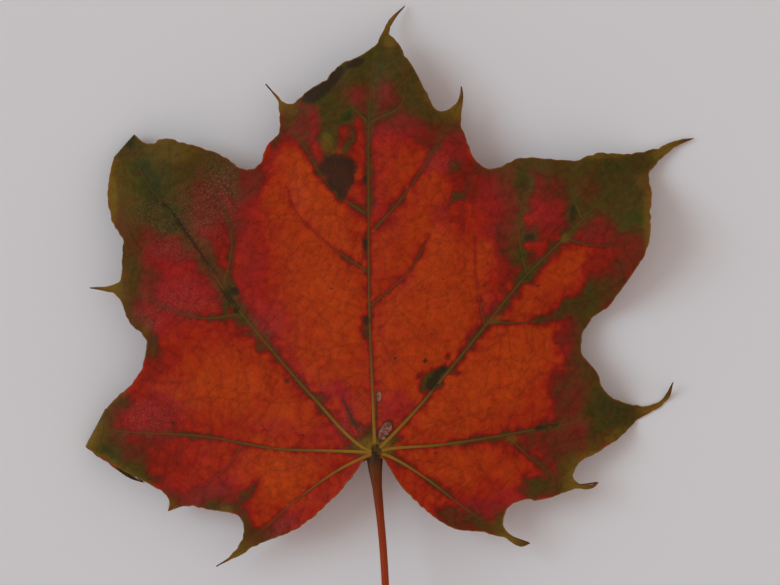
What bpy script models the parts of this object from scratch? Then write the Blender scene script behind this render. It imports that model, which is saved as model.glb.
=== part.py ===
"""A fallen maple leaf: a thin waved blade, the ribs under it and its stalk, in one solid.

The leaf lies right side up on a flat surface and stands on the ends of its lobes, of which
the two on the left are folded under. Its plan is in millimetres, with the hub, where the
stalk meets the blade, at (0, 0), the end lobe towards +Y and the upper face towards +Z.
The finished solid is in metres, with its origin at the bottom centre of its box.
"""

from math import cos, pi, radians, sin

import bmesh
import bpy
import numpy as np
from mathutils import Vector
from mathutils.geometry import delaunay_2d_cdt, interpolate_bezier

MM = 0.001
NAME = "maple_leaf"

# Sizes of the blade and its ribs
BLADE = 0.7
RIB_HEIGHT = (1.5, 0.3)
RIB_HALF_WIDTH = (1.3, 0.6)
RIB_REACH = 1.6
SIDE_RIB_HEIGHT = (0.6, 0.2)
SIDE_RIB_HALF_WIDTH = (0.8, 0.5)
PUCKER = 0.7
PUCKER_REACH = 4.0

# How fine the blade is split, and the least room that its points keep
GRID = 4.2
MARGIN_STEP = 2.8
FOLD_STEP = 1.3
VEIN_STEP = 3.4
SIDE_VEIN_STEP = 4.1
POINT_ROOM = 0.9
MARGIN_ROOM = 0.72
FLANK_ROOM = 1.2
VEIN_ROOM = 2.1
FOLD_ROOM = 1.9

# The margin, counter-clockwise from the hub, in runs that are smooth between sharp points
R_BASAL, R_SPUR = (38.9, -22.85), (39.9, -12.2)
R_TOOTH, R_LOW = (56.1, -7.6), (74.9, 17.5)
R_STEP, R_NOTCH, R_HIGH = (53.2, 22.7), (62.9, 42.4), (80.1, 78.75)
T_RIGHT, T_END, T_LEFT = (21.6, 91.8), (7.55, 112.1), (-27.7, 92.5)
L_HIGH, L_TOOTH, L_LOW = (-75.2, 87.2), (-71.8, 41.1), (-90.7, 9.3)
L_SPUR, L_BARB, L_BASAL = (-51.9, -14.95), (-36.3, -15.1), (-40.1, -28.9)
FOLD_HIGH = ((-65.8, 73.6), (-60.5, 79.65))
FOLD_LOW = ((-72.6, 1.5), (-67.55, 11.0))

MARGIN = (
    ((2.4, -1.75), (6.0, -7.5), (12.1, -13.95), (19.3, -18.8), (26.25, -19.95),
     (32.5, -21.5), (36.6, -23.7), R_BASAL),
    (R_BASAL, (35.4, -21.7), (32.05, -18.0), (33.3, -14.0), (38.7, -11.75), R_SPUR),
    (R_SPUR, (44.1, -11.3), (49.5, -9.3), (54.6, -9.0), R_TOOTH),
    (R_TOOTH, (53.2, -8.2), (49.9, -6.8), (50.7, -3.05), (55.3, -0.35), (61.5, 3.6),
     (66.05, 7.95), (72.3, 11.7), (73.9, 13.4), R_LOW),
    (R_LOW, (73.3, 14.6), (71.6, 12.4), (68.55, 11.6), (63.6, 11.7), (60.7, 12.9),
     (57.75, 15.2), (55.3, 20.2), R_STEP),
    (R_STEP, (51.75, 24.7), (52.4, 30.1), (54.0, 32.8), (58.25, 36.15), R_NOTCH),
    (R_NOTCH, (65.6, 46.5), (67.7, 50.25), (68.9, 60.6), (69.1, 66.85), (68.6, 69.55),
     (71.0, 72.65), (74.7, 76.0), (78.05, 77.8), R_HIGH),
    (R_HIGH, (76.8, 78.4), (69.35, 75.75), (62.3, 74.65), (55.65, 74.8), (49.85, 72.95),
     (45.3, 73.2), (35.35, 73.3), (31.2, 71.3), (27.5, 71.0), (23.3, 76.8), (21.5, 84.0),
     (22.1, 88.9), T_RIGHT),
    (T_RIGHT, (21.3, 89.3), (20.3, 87.3), (16.0, 85.1), (12.7, 90.2), (8.2, 98.3),
     (5.1, 103.2), (3.7, 105.0), (5.6, 109.4), T_END),
    (T_END, (4.9, 110.0), (2.9, 107.65), (0.2, 102.05), (-4.75, 98.5), (-7.6, 97.8),
     (-11.9, 93.8), (-18.6, 88.9), (-20.8, 87.0), (-25.9, 90.4), T_LEFT),
    (T_LEFT, (-24.8, 88.7), (-23.9, 84.4), (-24.15, 80.2), (-26.9, 76.6),
     (-29.75, 71.35), (-32.6, 70.7), (-37.7, 73.9), (-46.3, 76.95), (-53.0, 78.3),
     (-57.8, 77.7), FOLD_HIGH[1]),
    (FOLD_HIGH[1], (-64.5, 82.6), (-69.0, 84.9), L_HIGH),
    (L_HIGH, (-71.5, 82.5), (-68.3, 77.5), FOLD_HIGH[0]),
    (FOLD_HIGH[0], (-66.9, 64.2), (-65.8, 57.5), (-63.4, 53.5), (-63.2, 48.55),
     (-64.2, 42.6), L_TOOTH),
    (L_TOOTH, (-64.2, 38.7), (-61.8, 33.0), (-57.4, 27.9), (-57.4, 24.0), (-59.5, 19.05),
     (-64.8, 13.6), FOLD_LOW[1]),
    (FOLD_LOW[1], (-73.0, 12.0), (-79.0, 10.8), (-83.0, 9.3), (-87.0, 8.7), L_LOW),
    (L_LOW, (-87.5, 7.2), (-83.5, 5.5), (-79.7, 3.6), FOLD_LOW[0]),
    (FOLD_LOW[0], (-69.0, -1.2), (-61.85, -5.25), (-55.1, -8.8), (-51.6, -12.0), L_SPUR),
    (L_SPUR, (-47.5, -13.6), (-42.4, -14.3), L_BARB),
    (L_BARB, (-34.0, -16.0), (-32.9, -18.55), (-33.3, -21.9), (-37.1, -26.8), L_BASAL),
    (L_BASAL, (-34.4, -26.15), (-28.05, -22.55), (-19.8, -19.3), (-10.1, -11.1),
     (-4.4, -4.25), (-2.6, -1.75), (0.0, -1.0), (2.4, -1.75)),
)

# The main veins, each from the hub towards the end of its lobe
MAIN_VEINS = (
    ((0.0, 1.0), (-0.5, 13.0), (-1.4, 38.0), (-1.6, 63.0), (-1.5, 82.25), (-0.75, 92.5),
     (2.0, 103.0), (5.2, 109.2)),
    ((2.0, 1.85), (11.4, 11.9), (19.25, 21.35), (28.75, 33.0), (37.9, 44.25), (47.4, 53.5),
     (57.75, 64.35), (66.0, 72.0), (75.0, 77.0)),
    ((-3.0, 1.1), (-14.75, 13.0), (-29.5, 30.0), (-36.1, 38.25), (-45.0, 51.75),
     (-57.25, 67.75), (-61.5, 75.5), (-71.5, 84.8)),
    ((2.75, 1.0), (15.75, 1.85), (28.25, 3.6), (42.0, 6.0), (57.0, 8.5), (68.0, 10.5),
     (72.3, 12.9)),
    ((-3.25, 0.25), (-13.0, 0.5), (-23.75, 0.8), (-42.75, 3.9), (-57.6, 4.75), (-70.0, 5.5),
     (-83.0, 7.6)),
    ((3.1, -0.6), (12.1, -6.0), (22.9, -14.25), (36.0, -22.3)),
    ((-2.3, -1.0), (-9.5, -4.6), (-20.25, -12.5), (-31.0, -22.0), (-37.5, -27.2)),
)
SIDE_VEINS = (
    ((-1.5, 82.25), (-4.5, 85.0), (-10.5, 91.0)),
    ((-1.5, 82.25), (6.5, 86.75), (7.75, 92.0), (6.3, 97.0)),
    ((-2.25, 59.5), (-10.0, 65.1), (-18.1, 77.25), (-23.5, 87.0)),
    ((-0.75, 55.0), (7.0, 63.75), (14.5, 75.0), (20.8, 87.0)),
    ((-1.65, 45.0), (-11.75, 52.0), (-20.25, 61.0), (-22.0, 66.5)),
    ((-1.2, 36.5), (8.75, 45.5), (15.5, 57.75), (24.0, 67.5)),
    ((-37.75, 42.0), (-35.75, 52.75), (-38.75, 62.5), (-42.5, 71.5)),
    ((-33.75, 34.5), (-43.75, 33.5), (-58.5, 38.75), (-67.0, 40.5)),
    ((37.9, 44.25), (36.0, 54.5), (37.5, 68.5)),
    ((51.7, 58.0), (49.0, 65.5), (48.75, 70.25)),
    ((47.4, 53.5), (53.5, 51.75), (63.5, 52.0)),
    ((28.25, 32.5), (38.5, 32.5), (52.75, 36.25)),
    ((27.4, 31.5), (25.3, 43.0), (25.0, 54.0)),
    ((32.75, 4.2), (40.0, -2.25), (51.0, -7.8)),
    ((-33.1, 2.0), (-37.4, -4.25), (-49.5, -12.6)),
)

# The blade is high at the hub and stands on the ends of its lobes: (x, y, height)
HEIGHTS = (
    (0, 0, 14.5), (-1, 25, 13.0), (-1.4, 50, 11.8), (-1.6, 72, 11.0), (-1, 92, 10.0),
    (2, 103, 7.5), (7.55, 112.1, 0.7), (3.6, 106.5, 4.5), (8.2, 98.3, 12.0), (14, 88, 11.8),
    (-4.75, 98.5, 9.0), (-16, 90, 8.5), (21.6, 91.8, 5.5), (22, 82, 10.5), (29, 71, 8.0),
    (-27.7, 92.5, 3.5), (-24, 82, 8.0), (-31, 71, 7.5), (12, 65, 12.0), (-14, 65, 10.5),
    (18, 20, 12.8), (37, 44, 11.0), (47, 54, 12.0), (60, 67, 8.0), (68.8, 58, 13.5),
    (67.7, 50.2, 12.0), (62.9, 42.4, 8.5), (56, 34, 3.8), (51.8, 27, 5.2), (55.3, 20.2, 8.5),
    (57.75, 15.2, 7.8), (61, 12.9, 4.8), (68.9, 64, 8.5), (69, 69.6, 3.6), (74.7, 76, 1.2),
    (80.1, 78.75, 0.8), (55, 74.8, 7.0), (40, 73.3, 8.5), (32, 3.5, 10.5), (48, 7, 7.5),
    (62, 9.5, 1.6), (66.5, 10.6, 0.0), (71.3, 12.3, 0.0), (74.9, 17.5, 3.5), (61.5, 3.6, 3.8),
    (55, -0.4, 5.6), (56.1, -7.6, 7.5), (45, -8, 8.5), (38.9, -22.85, 8.0), (22, -17, 11.0),
    (-20, 15, 11.5), (-36, 38, 9.5), (-48, 56, 8.5), (-62, 75.8, 4.6), (-65.5, 62, 7.0),
    (-46, 76, 8.5), (-64, 45, 8.0), (-71.8, 41.1, 4.0), (-58, 26, 9.0), (-30, 2, 10.5),
    (-52, 4.5, 7.5), (-69, 6.3, 5.3), (-61, 15.5, 7.5), (-60, -5, 7.0), (-51.9, -14.95, 6.0),
    (-36, -14, 9.5), (-40.1, -28.9, 6.5), (-22, -17, 11.0),
)
HEIGHT_EASE = 20.0

# A folded lobe end turns under about the line from the first corner to the second
FOLDS = ((FOLD_HIGH, 2.0, radians(172)), (FOLD_LOW, 2.0, radians(170)))
FOLD_REACH = 13.0
FOLD_ROW = np.arange(-7.5, 8.0, 2.5)

# The stalk: (x, y, height of its middle, radius)
STALK = (
    (-0.2, 6.5, 12.6, 0.7), (-0.1, 3.0, 12.6, 1.3), (0.0, 0.0, 12.7, 2.0), (-0.1, -2.0, 13.0, 2.1),
    (0.5, -8.5, 14.2, 1.3), (1.3, -16.0, 15.5, 1.05), (2.0, -23.6, 16.5, 1.0),
    (2.6, -33.3, 17.3, 1.0), (3.2, -45.0, 17.6, 1.05), (3.9, -60.0, 16.8, 1.05),
    (5.4, -75.0, 15.0, 1.1), (7.0, -84.0, 13.6, 1.25), (8.0, -88.5, 12.8, 1.7),
    (8.4, -90.3, 12.5, 1.75),
)
STALK_STEP = 2.2
STALK_RESOLUTION = 3
WELD = 0.01

LEAF_RED = (0.27, 0.035, 0.01, 1.0)
LEAF_ROUGHNESS = 0.55
SHARP_ANGLE = radians(40)

# What the triangulation keeps, and how near it merges points
INSIDE_ONLY = 1
MERGE = 1e-5


def remove_all():
    """Clear the scene."""
    for thing in list(bpy.data.objects):
        bpy.data.objects.remove(thing)


def smooth_run(knots, step):
    """Points about step apart on a smooth curve through the knots, first to last."""
    knots = [Vector(knot).to_3d() for knot in knots]
    chords = [ahead - knot for knot, ahead in zip(knots, knots[1:])]
    joins = [(one.normalized() + two.normalized()).normalized()
             for one, two in zip(chords, chords[1:])]
    tangents = [chords[0].normalized(), *joins, chords[-1].normalized()]
    points = []
    for i, chord in enumerate(chords):
        reach = chord.length / 3
        count = max(2, 1 + round(chord.length / step))
        bend = interpolate_bezier(knots[i], knots[i] + tangents[i] * reach,
                                  knots[i + 1] - tangents[i + 1] * reach, knots[i + 1], count)
        points += bend[:-1]
    return points + [knots[-1]]


def plan_array(points):
    """The plan coordinates of some points, as rows."""
    return np.array([(point[0], point[1]) for point in points])


def margin_points():
    """The whole margin as one closed loop of plan points."""
    loop = []
    for run in MARGIN:
        folded = {run[0], run[-1]} & {L_HIGH, L_LOW}
        loop += smooth_run(run, FOLD_STEP if folded else MARGIN_STEP)[:-1]
    return plan_array(loop)


def taper(ends, share):
    """A size between its values at the two ends of a vein."""
    return ends[0] + (ends[1] - ends[0]) * share


def vein_table(veins, heights, widths, step):
    """Rows of x, y, rib height and half width along some veins, and their side points."""
    crest, flanks = [], []
    for vein in veins:
        points = smooth_run(vein, step)
        for i, point in enumerate(points):
            share = i / (len(points) - 1)
            width = taper(widths, share)
            crest.append((point.x, point.y, taper(heights, share), width))
            along = points[min(i + 1, len(points) - 1)] - points[max(i - 1, 0)]
            across = Vector((-along.y, along.x)).normalized() * width
            flanks += [(point.x + across.x, point.y + across.y),
                       (point.x - across.x, point.y - across.y)]
    return np.array(crest), np.array(flanks)


def fold_frame(fold):
    """Start point, direction along and outwards, radius and turn of one fold."""
    (first, second), radius, turn = fold
    along = np.subtract(second, first)
    along = along / np.hypot(*along)
    out = np.array((-along[1], along[0]))
    middle = np.add(first, second) / 2 - radius * out
    return middle, along, out, radius, turn


def fold_rows():
    """Rows of points across the bend of each folded lobe end."""
    rows = []
    for fold in FOLDS:
        middle, along, out, radius, turn = fold_frame(fold)
        for reach in np.arange(0.0, radius * turn + FOLD_STEP, FOLD_STEP):
            rows += [middle + out * reach + along * side for side in FOLD_ROW]
    return np.array(rows)


def grid_points(loop):
    """Points of a triangular grid over the blade."""
    low, high = loop.min(axis=0), loop.max(axis=0)
    rows = np.arange(low[1], high[1], GRID * sin(pi / 3))
    return np.array([(x + GRID / 2 * (i % 2), y) for i, y in enumerate(rows)
                     for x in np.arange(low[0], high[0], GRID)])


def inside(points, loop):
    """Which of the points lie inside the closed loop."""
    x, y = points[:, 0, None], points[:, 1, None]
    x0, y0 = loop.T
    x1, y1 = np.roll(loop, -1, axis=0).T
    level = np.where(y1 == y0, 1.0, y1 - y0)
    crosses = ((y0 > y) != (y1 > y)) & (x < (x1 - x0) * (y - y0) / level + x0)
    return crosses.sum(axis=1) % 2 == 1


def spacing(points, others):
    """Distance of each point from the nearest of the others."""
    gaps = points[:, None, :] - others[None, :, :]
    return np.sqrt((gaps ** 2).sum(axis=2)).min(axis=1)


def thin_out(points, gap):
    """The points in order, without any that comes nearer than gap to one before it."""
    kept = []
    for point in points:
        if not kept or spacing(point[None], np.array(kept))[0] > gap:
            kept.append(point)
    return np.array(kept)


def plan_mesh(loop, crest, flanks, side_crest):
    """The flat blade split into triangles: plan points and corner indices."""
    rows = fold_rows()
    grid = grid_points(loop)
    veins = np.vstack((crest, side_crest))[:, :2]
    grid = grid[(spacing(grid, veins) > VEIN_ROOM) & (spacing(grid, rows) > FOLD_ROOM)]
    flanks = thin_out(flanks, FLANK_ROOM)
    inner = np.vstack((crest[:, :2], flanks, side_crest[:, :2], rows, grid))
    inner = inner[inside(inner, loop) & (spacing(inner, loop) > MARGIN_ROOM)]
    inner = thin_out(inner, POINT_ROOM)
    ring = [(i, (i + 1) % len(loop)) for i in range(len(loop))]
    points = [Vector(point) for point in np.vstack((loop, inner))]
    verts, _, faces, *_ = delaunay_2d_cdt(points, ring, [], INSIDE_ONLY, MERGE)
    return np.array([tuple(vert) for vert in verts]), faces


def height_plate():
    """A smooth surface through HEIGHTS, as a function of rows of plan points."""
    notes = np.array(HEIGHTS, dtype=float)

    def bend(points):
        squares = ((points[:, None, :] - notes[None, :, :2]) ** 2).sum(axis=2)
        return squares * np.log(squares + 1e-6)

    flat = np.column_stack((np.ones(len(notes)), notes[:, :2]))
    system = np.block([[bend(notes[:, :2]) + HEIGHT_EASE * np.eye(len(notes)), flat],
                       [flat.T, np.zeros((3, 3))]])
    weights = np.linalg.solve(system, np.append(notes[:, 2], (0, 0, 0)))
    return lambda points: np.column_stack(
        (bend(points), np.ones(len(points)), points)) @ weights


def lay_down(plan, veins):
    """Where each plan point lies in space, with its lobe end folded under."""
    foot, drop = plan.copy(), np.zeros(len(plan))
    place = plan.copy()
    under = np.zeros(len(plan), dtype=bool)
    for fold in FOLDS:
        middle, along, out, radius, turn = fold_frame(fold)
        reach, side = (plan - middle) @ out, (plan - middle) @ along
        past = (reach > 0) & (abs(side) < FOLD_REACH)
        angle = np.minimum(reach / radius, turn)[past]
        straight = np.maximum(reach - radius * turn, 0)[past]
        foot[past] = plan[past] - reach[past, None] * out
        shift = radius * np.sin(angle) + straight * cos(turn)
        place[past] = foot[past] + shift[:, None] * out
        drop[past] = radius * (1 - np.cos(angle)) + straight * sin(turn)
        under[past] = angle > pi / 2
    near = spacing(foot, veins[:, :2])
    pucker = PUCKER * (1 - np.exp(-(near / PUCKER_REACH) ** 2))
    height = height_plate()(foot) + pucker - drop
    height = np.maximum(height, np.where(under, 0.0, BLADE))
    return np.column_stack((place, height))


def rib_thickness(plan, *tables):
    """Thickness of the blade at each plan point, with the ribs under it."""
    thickness = np.full(len(plan), BLADE)
    for table in tables:
        gaps = np.sqrt(((plan[:, None, :] - table[None, :, :2]) ** 2).sum(axis=2))
        ribs = table[:, 2] * np.clip(1 - gaps / (RIB_REACH * table[:, 3]), 0, 1)
        thickness = np.maximum(thickness, BLADE + ribs.max(axis=1))
    return thickness


def leaf_blade():
    """The blade with its ribs: an open waved surface, thickened downwards by Solidify."""
    loop = margin_points()
    crest, flanks = vein_table(MAIN_VEINS, RIB_HEIGHT, RIB_HALF_WIDTH, VEIN_STEP)
    side_crest, _ = vein_table(SIDE_VEINS, SIDE_RIB_HEIGHT, SIDE_RIB_HALF_WIDTH, SIDE_VEIN_STEP)
    plan, faces = plan_mesh(loop, crest, flanks, side_crest)
    places = lay_down(plan, np.vstack((crest, side_crest)))
    mesh = bpy.data.meshes.new(NAME)
    mesh.from_pydata([tuple(place) for place in places * MM], [], faces)
    blade = bpy.data.objects.new(NAME, mesh)
    weights = rib_thickness(plan, crest, side_crest)
    group = blade.vertex_groups.new(name="thickness")
    for i, weight in enumerate(weights / weights.max()):
        group.add([i], weight, "REPLACE")
    solidify = blade.modifiers.new("thickness", "SOLIDIFY")
    solidify.thickness = weights.max() * MM
    solidify.offset = -1
    solidify.vertex_group = group.name
    return blade


def stalk_tube():
    """The stalk: a tapering tube with closed ends, as a mesh object."""
    points = smooth_run([knot[:3] for knot in STALK], STALK_STEP)
    knots = np.array(STALK)
    curve = bpy.data.curves.new("stalk", "CURVE")
    curve.dimensions = "3D"
    curve.bevel_depth = MM
    curve.bevel_resolution = STALK_RESOLUTION
    curve.use_fill_caps = True
    spline = curve.splines.new("POLY")
    spline.points.add(len(points) - 1)
    for place, point in zip(spline.points, points):
        place.co = (*(point * MM), 1)
        place.radius = np.interp(-point.y, -knots[:, 1], knots[:, 3])
    tube = bpy.data.objects.new("stalk", curve)
    bpy.context.scene.collection.objects.link(tube)
    depsgraph = bpy.context.evaluated_depsgraph_get()
    mesh = bpy.data.meshes.new_from_object(tube.evaluated_get(depsgraph))
    bpy.data.objects.remove(tube)
    shape = bmesh.new()
    shape.from_mesh(mesh)
    bmesh.ops.remove_doubles(shape, verts=shape.verts, dist=WELD * MM)
    shape.to_mesh(mesh)
    shape.free()
    return bpy.data.objects.new("stalk", mesh)


def leaf_material():
    """The autumn red of the blade."""
    material = bpy.data.materials.new("autumn leaf")
    material.use_nodes = True
    shader = material.node_tree.nodes["Principled BSDF"]
    shader.inputs["Base Color"].default_value = LEAF_RED
    shader.inputs["Roughness"].default_value = LEAF_ROUGHNESS
    shader.inputs["Metallic"].default_value = 0.0
    return material


def grow_together(blade, stalk, home):
    """Join the stalk to the blade, level the low points and centre the solid."""
    union = blade.modifiers.new("stalk", "BOOLEAN")
    union.operation = "UNION"
    union.solver = "EXACT"
    union.object = stalk
    depsgraph = bpy.context.evaluated_depsgraph_get()
    mesh = bpy.data.meshes.new_from_object(blade.evaluated_get(depsgraph))
    for thing in (blade, stalk):
        bpy.data.objects.remove(thing)
    corners = np.array([vert.co for vert in mesh.vertices])
    middle = (corners.min(axis=0) + corners.max(axis=0)) / 2
    for vert in mesh.vertices:
        vert.co.z = max(vert.co.z, 0.0)
        vert.co.x -= middle[0]
        vert.co.y -= middle[1]
    mesh.name = NAME
    leaf = bpy.data.objects.new(NAME, mesh)
    leaf.data.materials.clear()
    leaf.data.materials.append(leaf_material())
    home.objects.link(leaf)
    return leaf


def main():
    """Build the leaf."""
    remove_all()
    home = bpy.data.collections.new("maple leaf")
    bpy.context.scene.collection.children.link(home)
    blade, stalk = leaf_blade(), stalk_tube()
    for thing in (blade, stalk):
        bpy.context.scene.collection.objects.link(thing)
    leaf = grow_together(blade, stalk, home)
    leaf.data.shade_smooth()
    leaf.data.set_sharp_from_angle(angle=SHARP_ANGLE)


main()
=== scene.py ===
"""A fallen maple leaf in autumn colours, lying right side up on a pale floor.

The leaf's plan is in millimetres from its hub, where the stalk meets the blade, with the end
lobe towards +Y and the upper face towards +Z. Each piece is placed in metres, where the frame
has the leaf.
"""

import logging
from collections.abc import Callable, Sequence
from dataclasses import dataclass, field
from enum import Enum
from math import cos, pi, radians, sin

import bmesh
import bpy
import numpy as np
from mathutils import Matrix, Vector
from mathutils.geometry import interpolate_bezier
from mathutils.kdtree import KDTree


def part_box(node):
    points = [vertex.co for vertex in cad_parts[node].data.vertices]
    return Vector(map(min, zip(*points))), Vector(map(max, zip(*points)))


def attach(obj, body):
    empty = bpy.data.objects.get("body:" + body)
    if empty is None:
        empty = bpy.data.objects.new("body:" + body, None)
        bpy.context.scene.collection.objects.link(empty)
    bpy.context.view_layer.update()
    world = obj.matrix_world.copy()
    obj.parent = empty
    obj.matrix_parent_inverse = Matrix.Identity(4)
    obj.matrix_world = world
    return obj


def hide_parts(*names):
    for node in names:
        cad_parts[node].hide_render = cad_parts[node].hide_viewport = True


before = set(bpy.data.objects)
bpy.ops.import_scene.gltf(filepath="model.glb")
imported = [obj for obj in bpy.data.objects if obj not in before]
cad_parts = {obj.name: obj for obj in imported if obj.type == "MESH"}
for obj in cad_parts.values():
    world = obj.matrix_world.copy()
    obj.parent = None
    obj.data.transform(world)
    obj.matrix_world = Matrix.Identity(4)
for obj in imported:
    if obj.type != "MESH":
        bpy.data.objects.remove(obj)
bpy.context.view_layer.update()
NODE = "maple_leaf"
MM = 0.001
TINY = 1e-6

Point = tuple[float, float]
Colour = tuple[float, float, float]
Stops = tuple[tuple[float, Colour], ...]
Spot = tuple[float, float, float, float, float]

# A pale surface of 0.8 looks 0.53 bright under the studio's light
PALE_SURFACE, PALE_LOOK = 0.8, 0.53
# The curve of screen colours: where its straight part ends and how steep that is, and the shift
# and power of the rest
SCREEN_STEP, SCREEN_SLOPE, SCREEN_SHIFT, SCREEN_POWER = 0.04045, 12.92, 0.055, 2.4
# Random waves over the plan: how many are added, how much their lengths vary, and what their sum
# is divided by
WAVE_COUNT, WAVE_SPREAD, WAVE_SUM = 7, (0.6, 1.7), 3.2

# Tips of the lobes and teeth, right (R), top (T) and left (L)
R_BASAL, R_SPUR = (38.9, -22.85), (39.9, -12.2)
R_TOOTH, R_LOW = (56.1, -7.6), (74.9, 17.5)
R_STEP, R_NOTCH, R_HIGH = (53.2, 22.7), (62.9, 42.4), (80.1, 78.75)
T_RIGHT, T_END, T_LEFT = (21.6, 91.8), (7.55, 112.1), (-27.7, 92.5)
L_HIGH, L_TOOTH, L_LOW = (-75.2, 87.2), (-71.8, 41.1), (-90.7, 9.3)
L_SPUR, L_BARB, L_BASAL = (-51.9, -14.95), (-36.3, -15.1), (-40.1, -28.9)
FOLD_HIGH = ((-65.8, 73.6), (-60.5, 79.65))
FOLD_LOW = ((-72.6, 1.5), (-67.55, 11.0))

# The margin, counter-clockwise from the hub, in runs that are smooth between sharp points
MARGIN = (
    ((2.4, -1.75), (6.0, -7.5), (12.1, -13.95), (19.3, -18.8), (26.25, -19.95),
     (32.5, -21.5), (36.6, -23.7), R_BASAL),
    (R_BASAL, (35.4, -21.7), (32.05, -18.0), (33.3, -14.0), (38.7, -11.75), R_SPUR),
    (R_SPUR, (44.1, -11.3), (49.5, -9.3), (54.6, -9.0), R_TOOTH),
    (R_TOOTH, (53.2, -8.2), (49.9, -6.8), (50.7, -3.05), (55.3, -0.35), (61.5, 3.6),
     (66.05, 7.95), (72.3, 11.7), (73.9, 13.4), R_LOW),
    (R_LOW, (73.3, 14.6), (71.6, 12.4), (68.55, 11.6), (63.6, 11.7), (60.7, 12.9),
     (57.75, 15.2), (55.3, 20.2), R_STEP),
    (R_STEP, (51.75, 24.7), (52.4, 30.1), (54.0, 32.8), (58.25, 36.15), R_NOTCH),
    (R_NOTCH, (65.6, 46.5), (67.7, 50.25), (68.9, 60.6), (69.1, 66.85), (68.6, 69.55),
     (71.0, 72.65), (74.7, 76.0), (78.05, 77.8), R_HIGH),
    (R_HIGH, (76.8, 78.4), (69.35, 75.75), (62.3, 74.65), (55.65, 74.8), (49.85, 72.95),
     (45.3, 73.2), (35.35, 73.3), (31.2, 71.3), (27.5, 71.0), (23.3, 76.8), (21.5, 84.0),
     (22.1, 88.9), T_RIGHT),
    (T_RIGHT, (21.3, 89.3), (20.3, 87.3), (16.0, 85.1), (12.7, 90.2), (8.2, 98.3),
     (5.1, 103.2), (3.65, 105.2), (5.4, 109.5), T_END),
    (T_END, (5.0, 109.9), (3.0, 107.55), (0.2, 102.05), (-4.75, 98.5), (-7.6, 97.8),
     (-11.9, 93.8), (-18.6, 88.9), (-20.8, 87.0), (-25.7, 90.45), T_LEFT),
    (T_LEFT, (-24.8, 88.7), (-23.9, 84.4), (-24.15, 80.2), (-26.9, 76.6),
     (-29.75, 71.35), (-32.6, 70.7), (-37.7, 73.9), (-46.3, 76.95), (-51.8, 78.4),
     (-54.0, 78.3), (-55.3, 77.35), (-58.0, 77.55), FOLD_HIGH[1]),
    (FOLD_HIGH[1], (-64.5, 82.6), (-69.0, 84.9), L_HIGH),
    (L_HIGH, (-71.5, 82.5), (-68.3, 77.5), FOLD_HIGH[0]),
    (FOLD_HIGH[0], (-66.9, 64.2), (-65.8, 57.5), (-63.4, 53.5), (-63.2, 48.55),
     (-64.2, 42.6), L_TOOTH),
    (L_TOOTH, (-64.2, 38.7), (-61.8, 33.0), (-57.4, 27.9), (-57.4, 24.0), (-59.5, 19.05),
     (-64.8, 13.6), FOLD_LOW[1]),
    (FOLD_LOW[1], (-73.0, 12.0), (-79.0, 10.8), (-83.2, 8.9), (-87.3, 7.9), L_LOW),
    (L_LOW, (-87.7, 7.0), (-83.7, 5.5), (-79.6, 3.8), FOLD_LOW[0]),
    (FOLD_LOW[0], (-69.0, -1.2), (-61.85, -5.25), (-55.1, -8.8), (-51.6, -12.0), L_SPUR),
    (L_SPUR, (-47.5, -13.6), (-42.4, -14.3), L_BARB),
    (L_BARB, (-34.0, -16.0), (-32.9, -18.55), (-33.3, -21.9), (-37.1, -26.8), L_BASAL),
    (L_BASAL, (-34.4, -26.15), (-28.05, -22.55), (-19.8, -19.3), (-10.1, -11.1),
     (-4.4, -4.25), (-2.6, -1.75), (0.0, -1.0), (2.4, -1.75)),
)

# The main veins, each from the hub to the tip of its lobe
MAIN_VEINS = (
    ((0.1, 0.2), (0.0, 1.4), (-0.5, 13.0), (-1.4, 38.0), (-1.6, 63.0), (-1.5, 82.25),
     (-0.75, 92.5), (2.0, 103.0), (5.2, 109.2), T_END),
    ((0.4, 0.4), (2.0, 1.95), (11.4, 11.9), (19.25, 21.35), (28.75, 33.0), (37.9, 44.25),
     (47.4, 53.5), (57.75, 64.35), (66.0, 72.0), (75.0, 77.0), R_HIGH),
    ((-0.4, 0.2), (-2.6, 1.0), (-14.75, 13.0), (-29.5, 30.0), (-36.1, 38.25), (-45.0, 51.75),
     (-57.25, 67.75), (-61.5, 75.5), (-71.5, 84.8), L_HIGH),
    ((0.5, 0.2), (3.0, 0.85), (15.75, 1.85), (28.25, 3.6), (42.0, 6.0), (57.0, 8.5), (68.0, 10.5),
     (72.3, 12.9), R_LOW),
    ((-0.6, 0.0), (-3.4, 0.2), (-13.0, 0.5), (-23.75, 0.8), (-42.75, 3.9), (-57.6, 4.75),
     (-70.0, 5.5), (-83.0, 7.6), L_LOW),
    ((0.6, 0.0), (3.1, -0.7), (12.1, -6.0), (22.9, -14.25), (33.0, -20.6), R_BASAL),
    ((-0.6, -0.2), (-2.5, -1.0), (-9.5, -4.6), (-20.25, -12.5), (-31.0, -22.0), (-36.5, -26.6),
     L_BASAL),
)
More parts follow.
